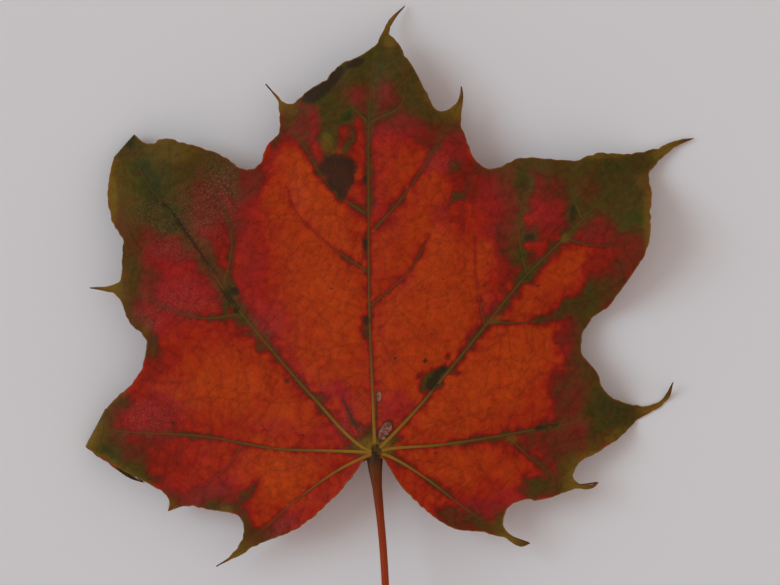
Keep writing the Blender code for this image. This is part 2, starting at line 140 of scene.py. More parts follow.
SIDE_VEINS = (
    ((-1.5, 82.25), (-4.5, 85.0), (-10.5, 91.0)),
    ((-1.5, 82.25), (6.5, 86.75), (7.75, 92.0), (6.3, 97.0)),
    ((-2.25, 59.5), (-10.0, 65.1), (-18.1, 77.25), (-23.5, 87.0), (-25.5, 89.9), T_LEFT),
    ((-0.75, 55.0), (7.0, 63.75), (14.5, 75.0), (20.8, 87.0), (21.9, 89.2), T_RIGHT),
    ((-1.65, 45.0), (-11.75, 52.0), (-20.25, 61.0), (-22.0, 66.5)),
    ((-1.2, 36.5), (8.75, 45.5), (15.5, 57.75), (24.0, 67.5)),
    ((-37.75, 42.0), (-35.75, 52.75), (-38.75, 62.5), (-42.5, 71.5)),
    ((-33.75, 34.5), (-43.75, 33.5), (-58.5, 38.75), (-67.0, 40.5), L_TOOTH),
    ((37.9, 44.25), (36.0, 54.5), (37.5, 68.5)),
    ((51.7, 58.0), (49.0, 65.5), (48.75, 70.25)),
    ((47.4, 53.5), (53.5, 51.75), (63.5, 52.0)),
    ((28.25, 32.5), (38.5, 32.5), (52.75, 36.25)),
    ((27.4, 31.5), (25.3, 43.0), (25.0, 54.0)),
    ((32.75, 4.2), (40.0, -2.25), (50.0, -8.0), R_TOOTH),
    ((-33.1, 2.0), (-37.4, -4.25), (-49.5, -12.6), L_SPUR),
)

# The blade is high at the hub and stands on the ends of its lobes: (x, y, height)
HEIGHTS = (
    (0, 0, 14.5), (-1, 25, 13.0), (-1.4, 50, 11.8), (-1.6, 72, 11.0), (-1, 92, 10.0),
    (2, 103, 7.5), (7.55, 112.1, 0.7), (3.6, 106.5, 4.5), (8.2, 98.3, 12.0), (14, 88, 11.8),
    (-4.75, 98.5, 9.0), (-16, 90, 8.5), (21.6, 91.8, 5.5), (22, 82, 10.5), (29, 71, 8.0),
    (-27.7, 92.5, 3.5), (-24, 82, 8.0), (-31, 71, 7.5), (12, 65, 12.0), (-14, 65, 10.5),
    (18, 20, 12.8), (37, 44, 11.0), (47, 54, 12.0), (60, 67, 8.0), (68.8, 58, 13.5),
    (67.7, 50.2, 12.0), (62.9, 42.4, 8.5), (56, 34, 3.8), (51.8, 27, 5.2), (55.3, 20.2, 8.5),
    (57.75, 15.2, 7.8), (61, 12.9, 4.8), (68.9, 64, 8.5), (69, 69.6, 3.6), (74.7, 76, 1.2),
    (80.1, 78.75, 0.8), (55, 74.8, 7.0), (40, 73.3, 8.5), (32, 3.5, 10.5), (48, 7, 7.5),
    (62, 9.5, 1.6), (66.5, 10.6, 0.0), (71.3, 12.3, 0.0), (74.9, 17.5, 3.5), (61.5, 3.6, 3.8),
    (55, -0.4, 5.6), (56.1, -7.6, 7.5), (45, -8, 8.5), (38.9, -22.85, 8.0), (22, -17, 11.0),
    (-20, 15, 11.5), (-36, 38, 9.5), (-48, 56, 8.5), (-62, 75.8, 4.6), (-65.5, 62, 7.0),
    (-46, 76, 8.5), (-64, 45, 8.0), (-71.8, 41.1, 4.0), (-58, 26, 9.0), (-30, 2, 10.5),
    (-52, 4.5, 7.5), (-69, 6.3, 5.3), (-61, 15.5, 7.5), (-60, -5, 7.0), (-51.9, -14.95, 6.0),
    (-36, -14, 9.5), (-40.1, -28.9, 6.5), (-22, -17, 11.0),
)

# The stalk: (x, y, height of its middle, radius)
STALK = (
    (-0.2, 6.5, 12.6, 0.7), (-0.1, 3.0, 12.6, 1.3), (0.0, 0.0, 12.7, 2.0), (-0.1, -2.0, 13.0, 2.1),
    (0.5, -8.5, 14.2, 1.3), (1.3, -16.0, 15.5, 1.05), (2.0, -23.6, 16.5, 1.0),
    (2.6, -33.3, 17.3, 1.0), (3.2, -45.0, 17.6, 1.05), (3.9, -60.0, 16.8, 1.05),
    (5.4, -75.0, 15.0, 1.1), (7.0, -84.0, 13.6, 1.25), (8.0, -88.5, 12.8, 1.7),
    (8.4, -90.3, 12.5, 1.75),
)

# How far the blade has turned from orange (0) over red and maroon to dark green (1), painted in
# this order. Each patch is (x, y, half length, half width, tilt in degrees, amount).
AGE_PATCHES = (
    # orange between the main veins
    (-12, 40, 27, 9, 98, 0.06), (-22, 62, 16, 6, 118, 0.10), (-13, 62, 8, 5, 120, 0.06),
    (15, 38, 25, 12, 80, 0.07), (8, 73, 9, 3.5, 75, 0.14), (-37, 17, 17, 7, 170, 0.06),
    (-22, 12, 8, 6, 150, 0.12), (27, 17, 18, 9, 32, 0.03), (38, 26, 9, 7, 10, 0.04),
    (38, 40, 9, 4, 40, 0.10), (49, 47, 6, 3.5, 35, 0.07), (23, -4, 15, 5, 170, 0.08),
    (-22, -6, 9, 6, 140, 0.01), (-45, 0, 5, 3, 0, 0.20), (-48, -5, 6, 3, 30, 0.22),
    (-18, 70, 7, 3, 130, 0.04), (-9, 76, 2.5, 1.8, 0, 0.12),
    # red towards the margins
    (-32, 58, 4, 13, 0, 0.28), (-30, 45, 4, 10, 10, 0.30), (-52, 24, 6, 6, 0, 0.30),
    (-47, 30, 10, 3, 10, 0.25), (22, 60, 4, 8, 0, 0.26), (31, 60, 5, 9, 0, 0.36),
    (32, 47, 3, 6, -20, 0.26), (44, 14, 5, 8, 0, 0.24), (-10, -7, 8, 3, 40, 0.26),
    (-16, -14, 9, 3, 42, 0.28), (12, -10, 9, 3, -40, 0.20), (30, -10, 8, 4, 10, 0.24),
    (-27, 72, 3, 6, -25, 0.34), (-22, 79, 3, 3, 0, 0.34), (2, 80, 5, 3, 0, 0.36),
    # upper left lobe
    (-56, 68, 13, 14, 0, 0.90), (-45, 73, 12, 4.5, -15, 0.84), (-35.5, 68, 4.5, 6, 0, 0.72),
    (-31, 68, 2.5, 4, 0, 0.56), (-61.5, 45, 4.5, 14, 0, 0.76), (-46, 60, 4, 4, 0, 0.66),
    (-59.5, 32, 3, 6, 25, 0.74), (-55.8, 26, 2.2, 4.5, 0, 0.70), (-50, 58, 7, 5, -50, 0.88),
    (-42.5, 60, 5, 9, 0, 0.62), (-41, 51, 4, 5, 0, 0.40), (-48, 41, 9, 6.5, 10, 0.30),
    (-51.5, 51.5, 6.5, 3.4, 0, 0.54), (-43.5, 49.5, 6, 2.3, 125, 0.88),
    (-38, 41.5, 5, 2.0, 128, 0.88), (-56, 43, 2.5, 6, 0, 0.62), (-52, 34.5, 7, 2.5, -15, 0.34),
    (-36, 57, 2.5, 7, 0, 0.42), (-62.3, 77.2, 5, 1.8, 48, 1.0), (-69.5, 81.5, 9, 5, 38, 0.92),
    # lower left lobe
    (-60, 4, 9.5, 8, -20, 0.50), (-66.5, 11, 4.6, 2.6, 35, 0.84), (-69, 6, 4, 4.5, 0, 0.84),
    (-66.5, 1.8, 5, 2.6, -20, 0.80), (-57.5, -1.5, 6, 3.6, -25, 0.46),
    (-61, -3.4, 8, 2.2, -29, 0.86), (-62.5, 0.5, 5, 3, -25, 0.57), (-66, -1.2, 6, 2.8, -29, 0.88),
    (-50, -2, 6, 4, 20, 0.36), (-56.5, 8, 7, 5, 0, 0.34), (-50.8, -12.4, 2.2, 3, 20, 0.86),
    (-45, -12.6, 5, 2, -5, 0.60), (-39, -11.0, 6, 3.4, 0, 0.48), (-38.4, -14.2, 5.5, 1.2, 0, 0.84),
    (-33, -10.8, 4.2, 1.1, 38, 0.62), (-32.8, -20, 1.8, 5, 5, 0.80), (-31, -23, 6, 2, 32, 0.84),
    (-26.5, -20.5, 6, 2.4, 28, 0.62), (-36.5, -26.5, 4, 1.5, 40, 0.90), (-57, 18, 2, 6, -20, 0.34),
    (-65, -2.9, 9, 2.0, -30, 0.88), (-71.5, 1.6, 3, 3, 0, 0.88),
    # top lobe
    (-9, 80, 8, 6, 0, 0.36), (-1, 97, 12, 10, 0, 0.90), (-11, 89, 8, 5, 20, 0.86),
    (9, 90, 8, 7, -50, 0.82), (15, 82, 7, 4, -20, 0.66), (19.5, 84.5, 2.6, 4, 0, 0.76),
    (14, 86, 4, 3, 0, 0.80), (21.5, 77, 2, 5, 5, 0.52), (-4.6, 89.3, 3.4, 3.4, 0, 0.56),
    (2.8, 90, 2.6, 2.8, 0, 0.56), (4.5, 86.5, 3, 1.8, 30, 0.52), (6, 82, 7, 2, -5, 0.50),
    (13, 78, 5, 3, -20, 0.46), (-21, 84, 3, 4, 0, 0.76), (-24, 80, 1.6, 5, -20, 0.62),
    (-15.5, 82, 2.4, 4, 10, 0.42), (-7, 84, 2.8, 1.8, 20, 1.00), (-12.3, 84, 2.2, 2, 0, 0.94),
    (-11.6, 79, 2.2, 4.6, 0, 0.90), (-6.3, 77, 0.9, 4, 0, 0.78), (-4.2, 79, 1.5, 3, 0, 0.32),
    (-18, 80, 1.4, 4, 30, 0.56), (26, 70.3, 4, 1.6, -10, 0.66), (21, 71.5, 4, 3, 0, 0.42),
    (19.5, 72, 1.6, 1.6, 0, 0.70), (25, 67, 4, 3, 0, 0.44), (19.8, 63, 2.6, 0.9, 50, 0.76),
    # upper right lobe
    (58, 72, 17, 5, 5, 0.88), (60, 65, 10, 8, 0, 0.88), (64, 57, 5, 8, 0, 0.88),
    (73, 75.6, 5, 2, 35, 0.88), (36, 73, 8, 2.8, 0, 0.84), (32.5, 69, 3, 4, 0, 0.76),
    (36.6, 67, 2.2, 4, 0, 0.98), (44, 71.5, 7, 2, 0, 0.80), (44.5, 65, 4.5, 4.5, 0, 0.56),
    (43, 58, 4.5, 4, 0, 0.42), (53.5, 65, 4, 3.4, 30, 0.66), (49.5, 60, 1.6, 4, 0, 0.98),
    (33, 56, 2.5, 10, 0, 0.58), (39.8, 50, 2.4, 3, 0, 0.24), (46, 56.5, 2.4, 1.6, 40, 0.36),
    (54, 56, 5, 3.5, 0, 0.50), (59, 53, 5, 3, 0, 0.50), (64, 52, 3, 4, 0, 0.54),
    (66.5, 49, 1.8, 6, -15, 0.56), (60, 39.5, 1.6, 6, -50, 0.66), (58, 47, 4, 4, 0, 0.42),
    (62, 46, 3, 4, 0, 0.54), (58, 40.5, 4.5, 3.5, 40, 0.66), (53.5, 39, 2.2, 5, 0, 0.80),
    (53, 35.5, 4, 2.6, 40, 0.90), (51.2, 28, 2.4, 7, 0, 0.86), (47.8, 29, 2.8, 4, 0, 0.54),
    (50, 23, 3, 2.2, 0, 0.66), (48.5, 36.3, 4, 1.4, 20, 0.80),
    # lower right lobe
    (57.5, 14, 4, 6, 0, 0.90), (61, 8.5, 9, 4, 20, 0.94), (54.5, 11, 3.6, 6, 0, 0.88),
    (53.5, 20, 2.2, 3, 0, 0.72), (49.6, 16, 3, 5.5, 0, 0.56), (48, 10.5, 3.4, 3, 0, 0.54),
    (53.5, 6.5, 3.6, 3, 0, 0.88), (49.5, 3.6, 4, 2.8, 0, 0.54), (47, -0.5, 3.5, 4, 0, 0.58),
    (55, 1.2, 4, 1.2, 25, 0.52), (48.5, -5.5, 2.6, 4, 0, 0.80), (43.5, -8, 6, 2.4, 8, 0.72),
    (40, -9.3, 3, 2.4, 0, 0.90), (41.5, -3.2, 3, 1.2, -35, 0.72), (44, -2, 3, 2, 0, 0.44),
    (36, 2, 4, 2, 0, 0.32), (53, -8.8, 3, 1, 0, 0.90), (41.5, 3.4, 5, 2.4, 5, 0.54),
    (57.5, 3.0, 6, 1.8, 38, 0.76), (63, 6.5, 4, 1.6, 40, 0.86), (46, -9.6, 5, 1.6, 8, 0.74),
    (47.5, 15, 3, 6, 0, 0.60), (48, 5, 5, 3, 0, 0.56), (46, 1, 5, 3, 0, 0.60),
    # right basal lobe
    (27, -17.5, 8, 2.6, -12, 0.66), (31, -17, 2.6, 4, 0, 0.80), (34, -21, 4, 1.6, -35, 0.90),
    (20, -16.8, 6, 1.8, -28, 0.58), (27, -13, 5, 2, -10, 0.44),
    # the hub and its streak
    (-5.6, 8.8, 6.4, 1.0, 116, 0.62), (-1.7, 4.6, 1.0, 3, 0, 0.78), (-12.2, 13.4, 2, 1, -40, 0.55),
    (4, 3.2, 2.4, 1.0, 20, 0.72), (-4.6, 1.2, 2.2, 1.4, 0, 0.74), (3.4, 0.2, 2.6, 1.3, -25, 0.74),
    (0, 2, 3.4, 2.2, 0, 0.78), (16.3, 20.2, 2.8, 1.6, 25, 0.94), (14.4, 17.2, 2.4, 1.8, 60, 0.96),
    (13.5, 15.9, 1.2, 0.8, 60, 0.82), (18.9, 20.3, 2.2, 0.5, 0, 0.62),
    (17.6, 22.2, 1.2, 0.7, 90, 0.70), (11.3, 18.8, 1.4, 0.8, 20, 0.44),
    (-36.5, 42, 3.0, 1.8, -50, 0.90), (-37.2, 36.2, 1.2, 2.6, 10, 0.84),
    (38.6, 54, 2.6, 1.5, 20, 0.70), (-2.2, 51.8, 1.2, 3.0, 0, 0.80),
    (-1.9, 31.0, 1.2, 3.8, 0, 0.70),
)
# Crimson
BLUSH_PATCHES = (
    (-48, 41, 9, 6.5, 10, 0.75), (-42.5, 56, 5, 9, 0, 0.36), (-51, 50, 7, 4, 0, 0.62),
    (-54, 33, 6, 3, -10, 0.55), (-57, 8, 7, 5, 0, 0.65), (-52, 11, 4, 6, 0, 0.45),
    (-29, 35, 4, 8, 20, 0.45), (-27, 31, 5, 2.5, 130, 0.55), (-19, 20, 5, 2.2, 135, 0.45),
    (-9, 15, 4.5, 2.6, -30, 0.85), (-7, 9, 2.8, 4.5, -30, 0.75), (-10, 6, 6, 3, 30, 0.50),
    (-26, 33, 5, 7, 35, 0.50), (-31, 46, 3.5, 8, 10, 0.30), (-3, 20, 2.5, 6, 0, 0.25),
    (5.5, 11, 4.5, 3, 50, 0.75), (16, 60, 2.6, 4, 10, 0.55), (15.5, 72.5, 4, 3, 30, 0.60),
    (1.5, 61, 2.2, 3.5, 0, 0.50), (7.5, 43, 2, 1.6, 0, 0.35), (29, 37, 3, 2.4, 40, 0.45),
    (32, 62, 5, 9, 0, 0.40), (42, 60, 4, 4, 0, 0.40), (48, 29, 3, 4, 0, 0.30),
    (49.5, 12, 3, 4, 0, 0.20), (47, 3.5, 5, 3, 0, 0.15), (33, -12, 4.5, 3, 20, 0.65),
    (26, -13.4, 5, 2.4, -15, 0.55), (-22, -17.6, 4.5, 2, 35, 0.70), (-47, -10, 6, 3, 0, 0.50),
    (-37, -8.5, 4, 2.4, 20, 0.45), (-25, 6, 6, 2.6, 0, 0.40), (-42, -5, 4, 5, 0, 0.30),
    (-4.6, 89.3, 3, 3, 0, 0.32), (2.8, 89, 2.4, 2.6, 0, 0.36), (-15.5, 82, 2, 4, 0, 0.45),
    (5, 80, 6, 3, 0, 0.40), (20, 76, 4, 4, 0, 0.40), (-20, 80, 3, 2, 0, 0.35),
    (54, 55, 4, 3, 0, 0.30), (-31, 64, 2.6, 6, 0, 0.30), (50, 7, 3, 2, 0, 0.4),
)
# Dead brown scars, dots and lines
STAIN_PATCHES = (
    (-9.2, 71.2, 4.6, 3.0, -4, 1.00), (-8.6, 68.2, 3.3, 3.2, 0, 1.00),
    (-8.4, 65.2, 1.6, 2.2, 20, 0.75), (-14.2, 90.6, 4.6, 2.2, 38, 1.00),
    (-10.6, 93.8, 3.6, 1.8, 45, 0.90), (-5, 97.2, 2.6, 1.1, 20, 0.80),
    (-61.6, 78, 3.2, 0.9, 50, 0.45), (-86.5, 8.3, 6.5, 3.0, 8, 1.00),
    (14.2, 17.0, 1.6, 1.4, 55, 1.00), (16.4, 20.4, 1.9, 1.0, 25, 0.80),
    (15.2, 18.7, 1.2, 1.0, 50, 1.00), (13.3, 16.1, 0.7, 0.5, 0, 0.65),
    (12.6, 23.0, 0.7, 0.6, 0, 1.00), (0.2, 0.3, 1.1, 1.9, 0, 1.0), (4.9, 23.4, 0.5, 0.4, 0, 0.80),
    (5.7, 22.9, 0.4, 0.4, 0, 0.45), (-22.0, 17.8, 1.0, 0.8, 0, 0.55),
    (-35.2, 40.2, 1.1, 1.2, 0, 0.75), (-34.6, 35.4, 0.9, 0.9, 0, 0.70),
    (-2.1, 32.9, 1.0, 1.2, 0, 0.62), (-2.0, 29.4, 0.9, 1.2, 0, 0.40),
    (-2.5, 51.8, 0.9, 2.2, 0, 0.62), (-2.5, 68.2, 0.6, 1.3, 0, 0.70),
    (41.4, 6.1, 1.6, 0.6, 5, 0.85), (44.5, 6.8, 2.2, 0.5, 5, 0.60), (38.6, 53.6, 1.6, 1.1, 0, 0.60),
    (49.4, 59.2, 1.0, 2.8, 0, 0.55), (-46.5, 53.8, 12, 0.42, 125, 0.78),
    (-36.6, 38.6, 3.4, 0.6, 130, 0.80), (15.1, 0.1, 0.4, 0.4, 0, 0.85),
    (-18.1, 4.2, 0.5, 0.4, 0, 0.70), (-50.3, 7.2, 0.7, 0.7, 0, 0.60),
    (-60.9, 76.6, 0.9, 1.9, 0, 0.45), (24.5, -14.8, 1.4, 0.7, -30, 0.50),
    (27.5, 0.8, 1.2, 0.3, 0, 0.45), (35.3, 22.7, 0.5, 0.4, 0, 0.60),
    (17.2, 10.4, 0.9, 0.3, 0, 0.50), (28.0, 46.9, 0.4, 0.4, 0, 0.80),
    (27.2, 41.7, 0.5, 0.4, 0, 0.70), (28.8, 38.5, 0.4, 0.4, 0, 0.70),
    (40.8, 41.8, 0.6, 0.4, 0, 0.80), (-10.9, 40.9, 0.4, 0.4, 0, 0.70),
    (-21.3, 34.5, 0.5, 0.3, 0, 0.60), (-1.0, 74.0, 0.3, 0.8, 0, 0.50),
    (31.4, -11.0, 0.4, 0.3, 0, 0.50), (-21.9, -11.1, 0.3, 0.3, 0, 0.60),
    (-57.5, 67.6, 0.5, 0.9, 40, 0.40), (-52.9, 61.8, 0.5, 0.9, 40, 0.60),
    (-49.2, 56.9, 0.5, 0.9, 40, 0.70), (6.0, 64.8, 1.0, 0.5, 30, 0.35),
    (20.4, 70.8, 0.9, 0.5, 0, 0.35), (25.4, 69.6, 2.4, 0.6, 0, 0.35),
    (-39.8, 45.0, 0.5, 1.6, 40, 0.50), (-25.2, 25.0, 0.5, 1.0, 40, 0.40),
    (-23, 80, 0.4, 2.0, 20, 0.3),
)
# Yellow and tan places, most of them on the margin
GOLD_PATCHES = (
    (-51.5, 75.2, 6, 2.6, -5, 0.34), (-62, 66, 4, 8, 0, 0.20), (-66.0, 64, 1.6, 8, 2, 0.75),
    (-64.8, 71, 1.5, 3, 0, 0.40), (-53.5, 77.8, 3.0, 0.9, 0, 0.55), (-47, 76, 3, 1.0, -15, 0.35),
    (-68.5, 41.1, 3.0, 1.0, 0, 0.95), (-64.0, 41, 2.2, 2.0, 0, 0.40),
    (-25.2, 88.7, 2.2, 1.0, 130, 0.90), (-21.5, 86, 2.4, 1.5, 0, 0.35),
    (3.6, 103.0, 2.4, 1.6, 110, 0.55), (3.0, 107, 1.4, 2.2, -25, 0.50), (9.5, 98, 1.2, 7, 32, 0.30),
    (20.8, 87, 1.2, 3, 0, 0.35), (55, 74.3, 8, 1.0, 3, 0.50), (73.6, 76.6, 5.0, 1.3, 33, 0.80),
    (68.4, 58, 1.4, 9, 0, 0.55), (67, 68, 2, 2, 0, 0.30), (69.4, 11.1, 3.6, 1.3, 18, 0.95),
    (60.5, 4.2, 4, 1.2, 35, 0.45), (51.8, -8.9, 3.4, 1.0, 0, 0.85),
    (35.2, -22.0, 3.4, 1.1, -38, 0.90), (-36.5, -26.6, 4.0, 1.3, 42, 0.80),
    (-33, -24.5, 3, 1.6, 35, 0.45), (-51.0, -13.6, 1.4, 1.2, 0, 0.55),
    (-66, -2.2, 6.5, 0.6, -29, 0.35), (-59, -6.4, 4.5, 0.6, -29, 0.30),
    (-65.5, 13.2, 4, 0.9, 32, 0.35), (-11.9, 77.2, 1.5, 2.6, 0, 0.55),
    (-9.6, 75, 1.4, 1.0, 0, 0.35), (30, 33.0, 2.0, 0.8, 20, 0.5), (0, 1.5, 4.4, 2.4, 0, 0.90),
    (-76, 7, 7, 8, 10, 1.00), (-37, -14.4, 1.5, 0.9, 0, 0.4), (34.2, 3.2, 1.2, 1.0, 0, 0.6),
    (20.6, 2.2, 1.6, 0.5, 10, 0.5), (-58, 29.5, 1.0, 3, -30, 0.3), (47.3, 53.4, 1.2, 0.9, 40, 0.6),
)
# The pebbled, glossier skin of some parts, where a paler, greyer colour is painted on as sheen
PEBBLED_SHEEN_PATCHES = (
    (-38.5, 66, 4.5, 8, 15, 0.9), (-43, 61, 6, 8, 0, 0.7), (-53, 58, 8, 5, -30, 0.6),
    (-56, 34, 5, 3, 0, 0.6), (-47, 38, 7, 5, 0, 0.5), (-57, 9, 6, 4, 0, 0.6),
    (-50, 13, 6, 6, 0, 0.3), (-21, -18, 4, 2, 30, 0.6), (-51, 51, 6, 3, 0, 0.5),
    (15, 73, 4, 3, 0, 0.4), (-5, 8, 3, 6, -25, 0.4), (-27, 32, 4, 4, 0, 0.3),
)

# Dry ends: the tips that are drawn out into a hair
TIPS = (R_BASAL, R_TOOTH, R_LOW, R_HIGH, T_RIGHT, T_END, T_LEFT, L_HIGH, L_TOOTH, L_LOW, L_BASAL)

# Green or brown flanks of the veins: (vein, from, to, half width, age)
MAIN_FLANKS = (
    (0, 0.52, 0.96, 1.2, 0.86), (0, 0.04, 0.55, 0.6, 0.62), (1, 0.30, 0.97, 1.5, 0.88),
    (1, 0.03, 0.33, 0.9, 0.68), (2, 0.34, 0.80, 2.2, 1.00), (2, 0.03, 0.36, 1.3, 0.76),
    (3, 0.26, 0.72, 1.0, 0.88), (3, 0.04, 0.28, 0.6, 0.66), (4, 0.46, 0.85, 0.9, 0.82),
    (4, 0.04, 0.50, 0.6, 0.62), (5, 0.02, 0.95, 0.9, 0.72), (6, 0.04, 0.70, 0.7, 0.46),
)
SIDE_FLANKS = (
    (0, 0.0, 1.0, 0.8, 0.84), (1, 0.0, 1.0, 0.8, 0.82), (2, 0.05, 1.0, 1.0, 0.78),
    (3, 0.05, 0.9, 0.9, 0.76), (4, 0.0, 0.3, 0.8, 0.76), (4, 0.3, 1.0, 0.5, 0.40),
    (5, 0.0, 0.6, 0.7, 0.62), (6, 0.0, 1.0, 0.8, 0.76), (7, 0.0, 1.0, 0.8, 0.76),
    (8, 0.0, 1.0, 1.9, 0.98), (9, 0.0, 1.0, 1.1, 0.88), (10, 0.0, 0.8, 0.5, 0.70),
    (11, 0.0, 0.5, 0.6, 0.74), (11, 0.5, 1.0, 1.1, 0.86), (12, 0.0, 0.3, 0.7, 0.60),
    (12, 0.3, 1.0, 0.4, 0.36), (13, 0.0, 1.0, 0.8, 0.72), (14, 0.0, 1.0, 0.6, 0.46),
)


class Order(Enum):
    """How a vein ranks, from the lobes' own veins down to the finest ones."""

    MAIN = 0
    SIDE = 1
    FINE = 2
    HAIR = 3


# Half width and rise of each kind of vein in millimetres, each at its root and at its end
VEIN_SIZES = {
    Order.MAIN: ((0.60, 0.13), (0.17, 0.07)),
    Order.SIDE: ((0.30, 0.12), (0.07, 0.045)),
    Order.FINE: ((0.19, 0.10), (0.05, 0.03)),
    Order.HAIR: ((0.11, 0.07), (0.03, 0.02)),
}


class Seed(Enum):
    """What each field of random waves is for."""

    WANDER_X = 1
    WANDER_Y = 2
    STAIN_X = 3
    STAIN_Y = 4
    RIPPLE = 5
    EDGE_X = 7
    EDGE_Y = 8
    WEAR = 23
    FINE_WEAR = 24
    FLANK_WIDTH = 31
    FLANK_COVER = 57


class Layer(Enum):
    """What is painted on the leaf, as three-part attributes of its points."""

    PAINT = "leaf_paint"
    MARKS = "leaf_marks"
    LINES = "leaf_lines"
    WHERE = "leaf_where"
    RANK = "vein_rank"
    STALK = "stalk_where"


def seen(colour: Colour) -> tuple[float, float, float, float]:
    """The surface colour that looks like a given screen colour under the studio's light.

    Args:
        colour: red, green and blue from 0 to 255, as they look where the leaf is lit.

    Returns:
        Linear red, green, blue and an alpha of 1.
    """
    lift = PALE_SURFACE / PALE_LOOK
    parts = [part / 255 for part in colour]
    linear = [((part + SCREEN_SHIFT) / (1 + SCREEN_SHIFT)) ** SCREEN_POWER
              if part > SCREEN_STEP else part / SCREEN_SLOPE for part in parts]
    return (*(min(part * lift, 1.0) for part in linear), 1.0)


def smooth_run(knots: Sequence[Sequence[float]], step: float) -> list[Vector]:
    """Points on a smooth curve through some knots.

    Args:
        knots: the points that the curve passes, first to last.
        step: the distance between points.

    Returns:
        The points, the first and last knot among them.
    """
    knots = [Vector(knot).to_3d() for knot in knots]
    chords = [ahead - knot for knot, ahead in zip(knots, knots[1:])]
    joins = [(one.normalized() + two.normalized()).normalized()
             for one, two in zip(chords, chords[1:])]
    tangents = [chords[0].normalized(), *joins, chords[-1].normalized()]
    points = []
    for i, chord in enumerate(chords):
        reach = chord.length / 3
        count = max(2, 1 + round(chord.length / step))
        points += interpolate_bezier(knots[i], knots[i] + tangents[i] * reach,
                                     knots[i + 1] - tangents[i + 1] * reach,
                                     knots[i + 1], count)[:-1]
    return points + [knots[-1]]


def plan_array(points: Sequence[Sequence[float]]) -> np.ndarray:
    """The plan coordinates of some points, as rows."""
    return np.array([(point[0], point[1]) for point in points])


class Near:
    """Some points in the plan or in space, to find the nearest of."""

    def __init__(self, points: np.ndarray) -> None:
        """Sort the points for quick searches.

        Args:
            points: rows of points.
        """
        self.tree = KDTree(len(points))
        for i, point in enumerate(points):
            self.tree.insert(Vector(point).to_3d(), i)
        self.tree.balance()

    def spacing(self, points: np.ndarray) -> np.ndarray:
        """Distance of each of some other points from the nearest of these."""
        return np.array([self.tree.find(Vector(point).to_3d())[2] for point in points])

    def nearest(self, points: np.ndarray) -> np.ndarray:
        """Which of these points is nearest to each of some others."""
        return np.array([self.tree.find(Vector(point).to_3d())[1] for point in points])


def drift(points: np.ndarray, wave: float, seed: Seed, index: int = 0) -> np.ndarray:
    """Smooth random waves over the plan.

    Args:
        points: rows of plan points.
        wave: the usual length of a wave.
        seed: what the waves are for.
        index: which of several fields for the same use this is.

    Returns:
        A value of about -1 to 1 for each point.
    """
    chance = np.random.default_rng(seed.value + index)
    total = np.zeros(len(points))
    for _ in range(WAVE_COUNT):
        heading, phase = chance.uniform(0, 2 * pi, 2)
        length = wave * chance.uniform(*WAVE_SPREAD)
        total += np.sin(points @ (cos(heading), sin(heading)) * 2 * pi / length + phase)
    return total / WAVE_SUM


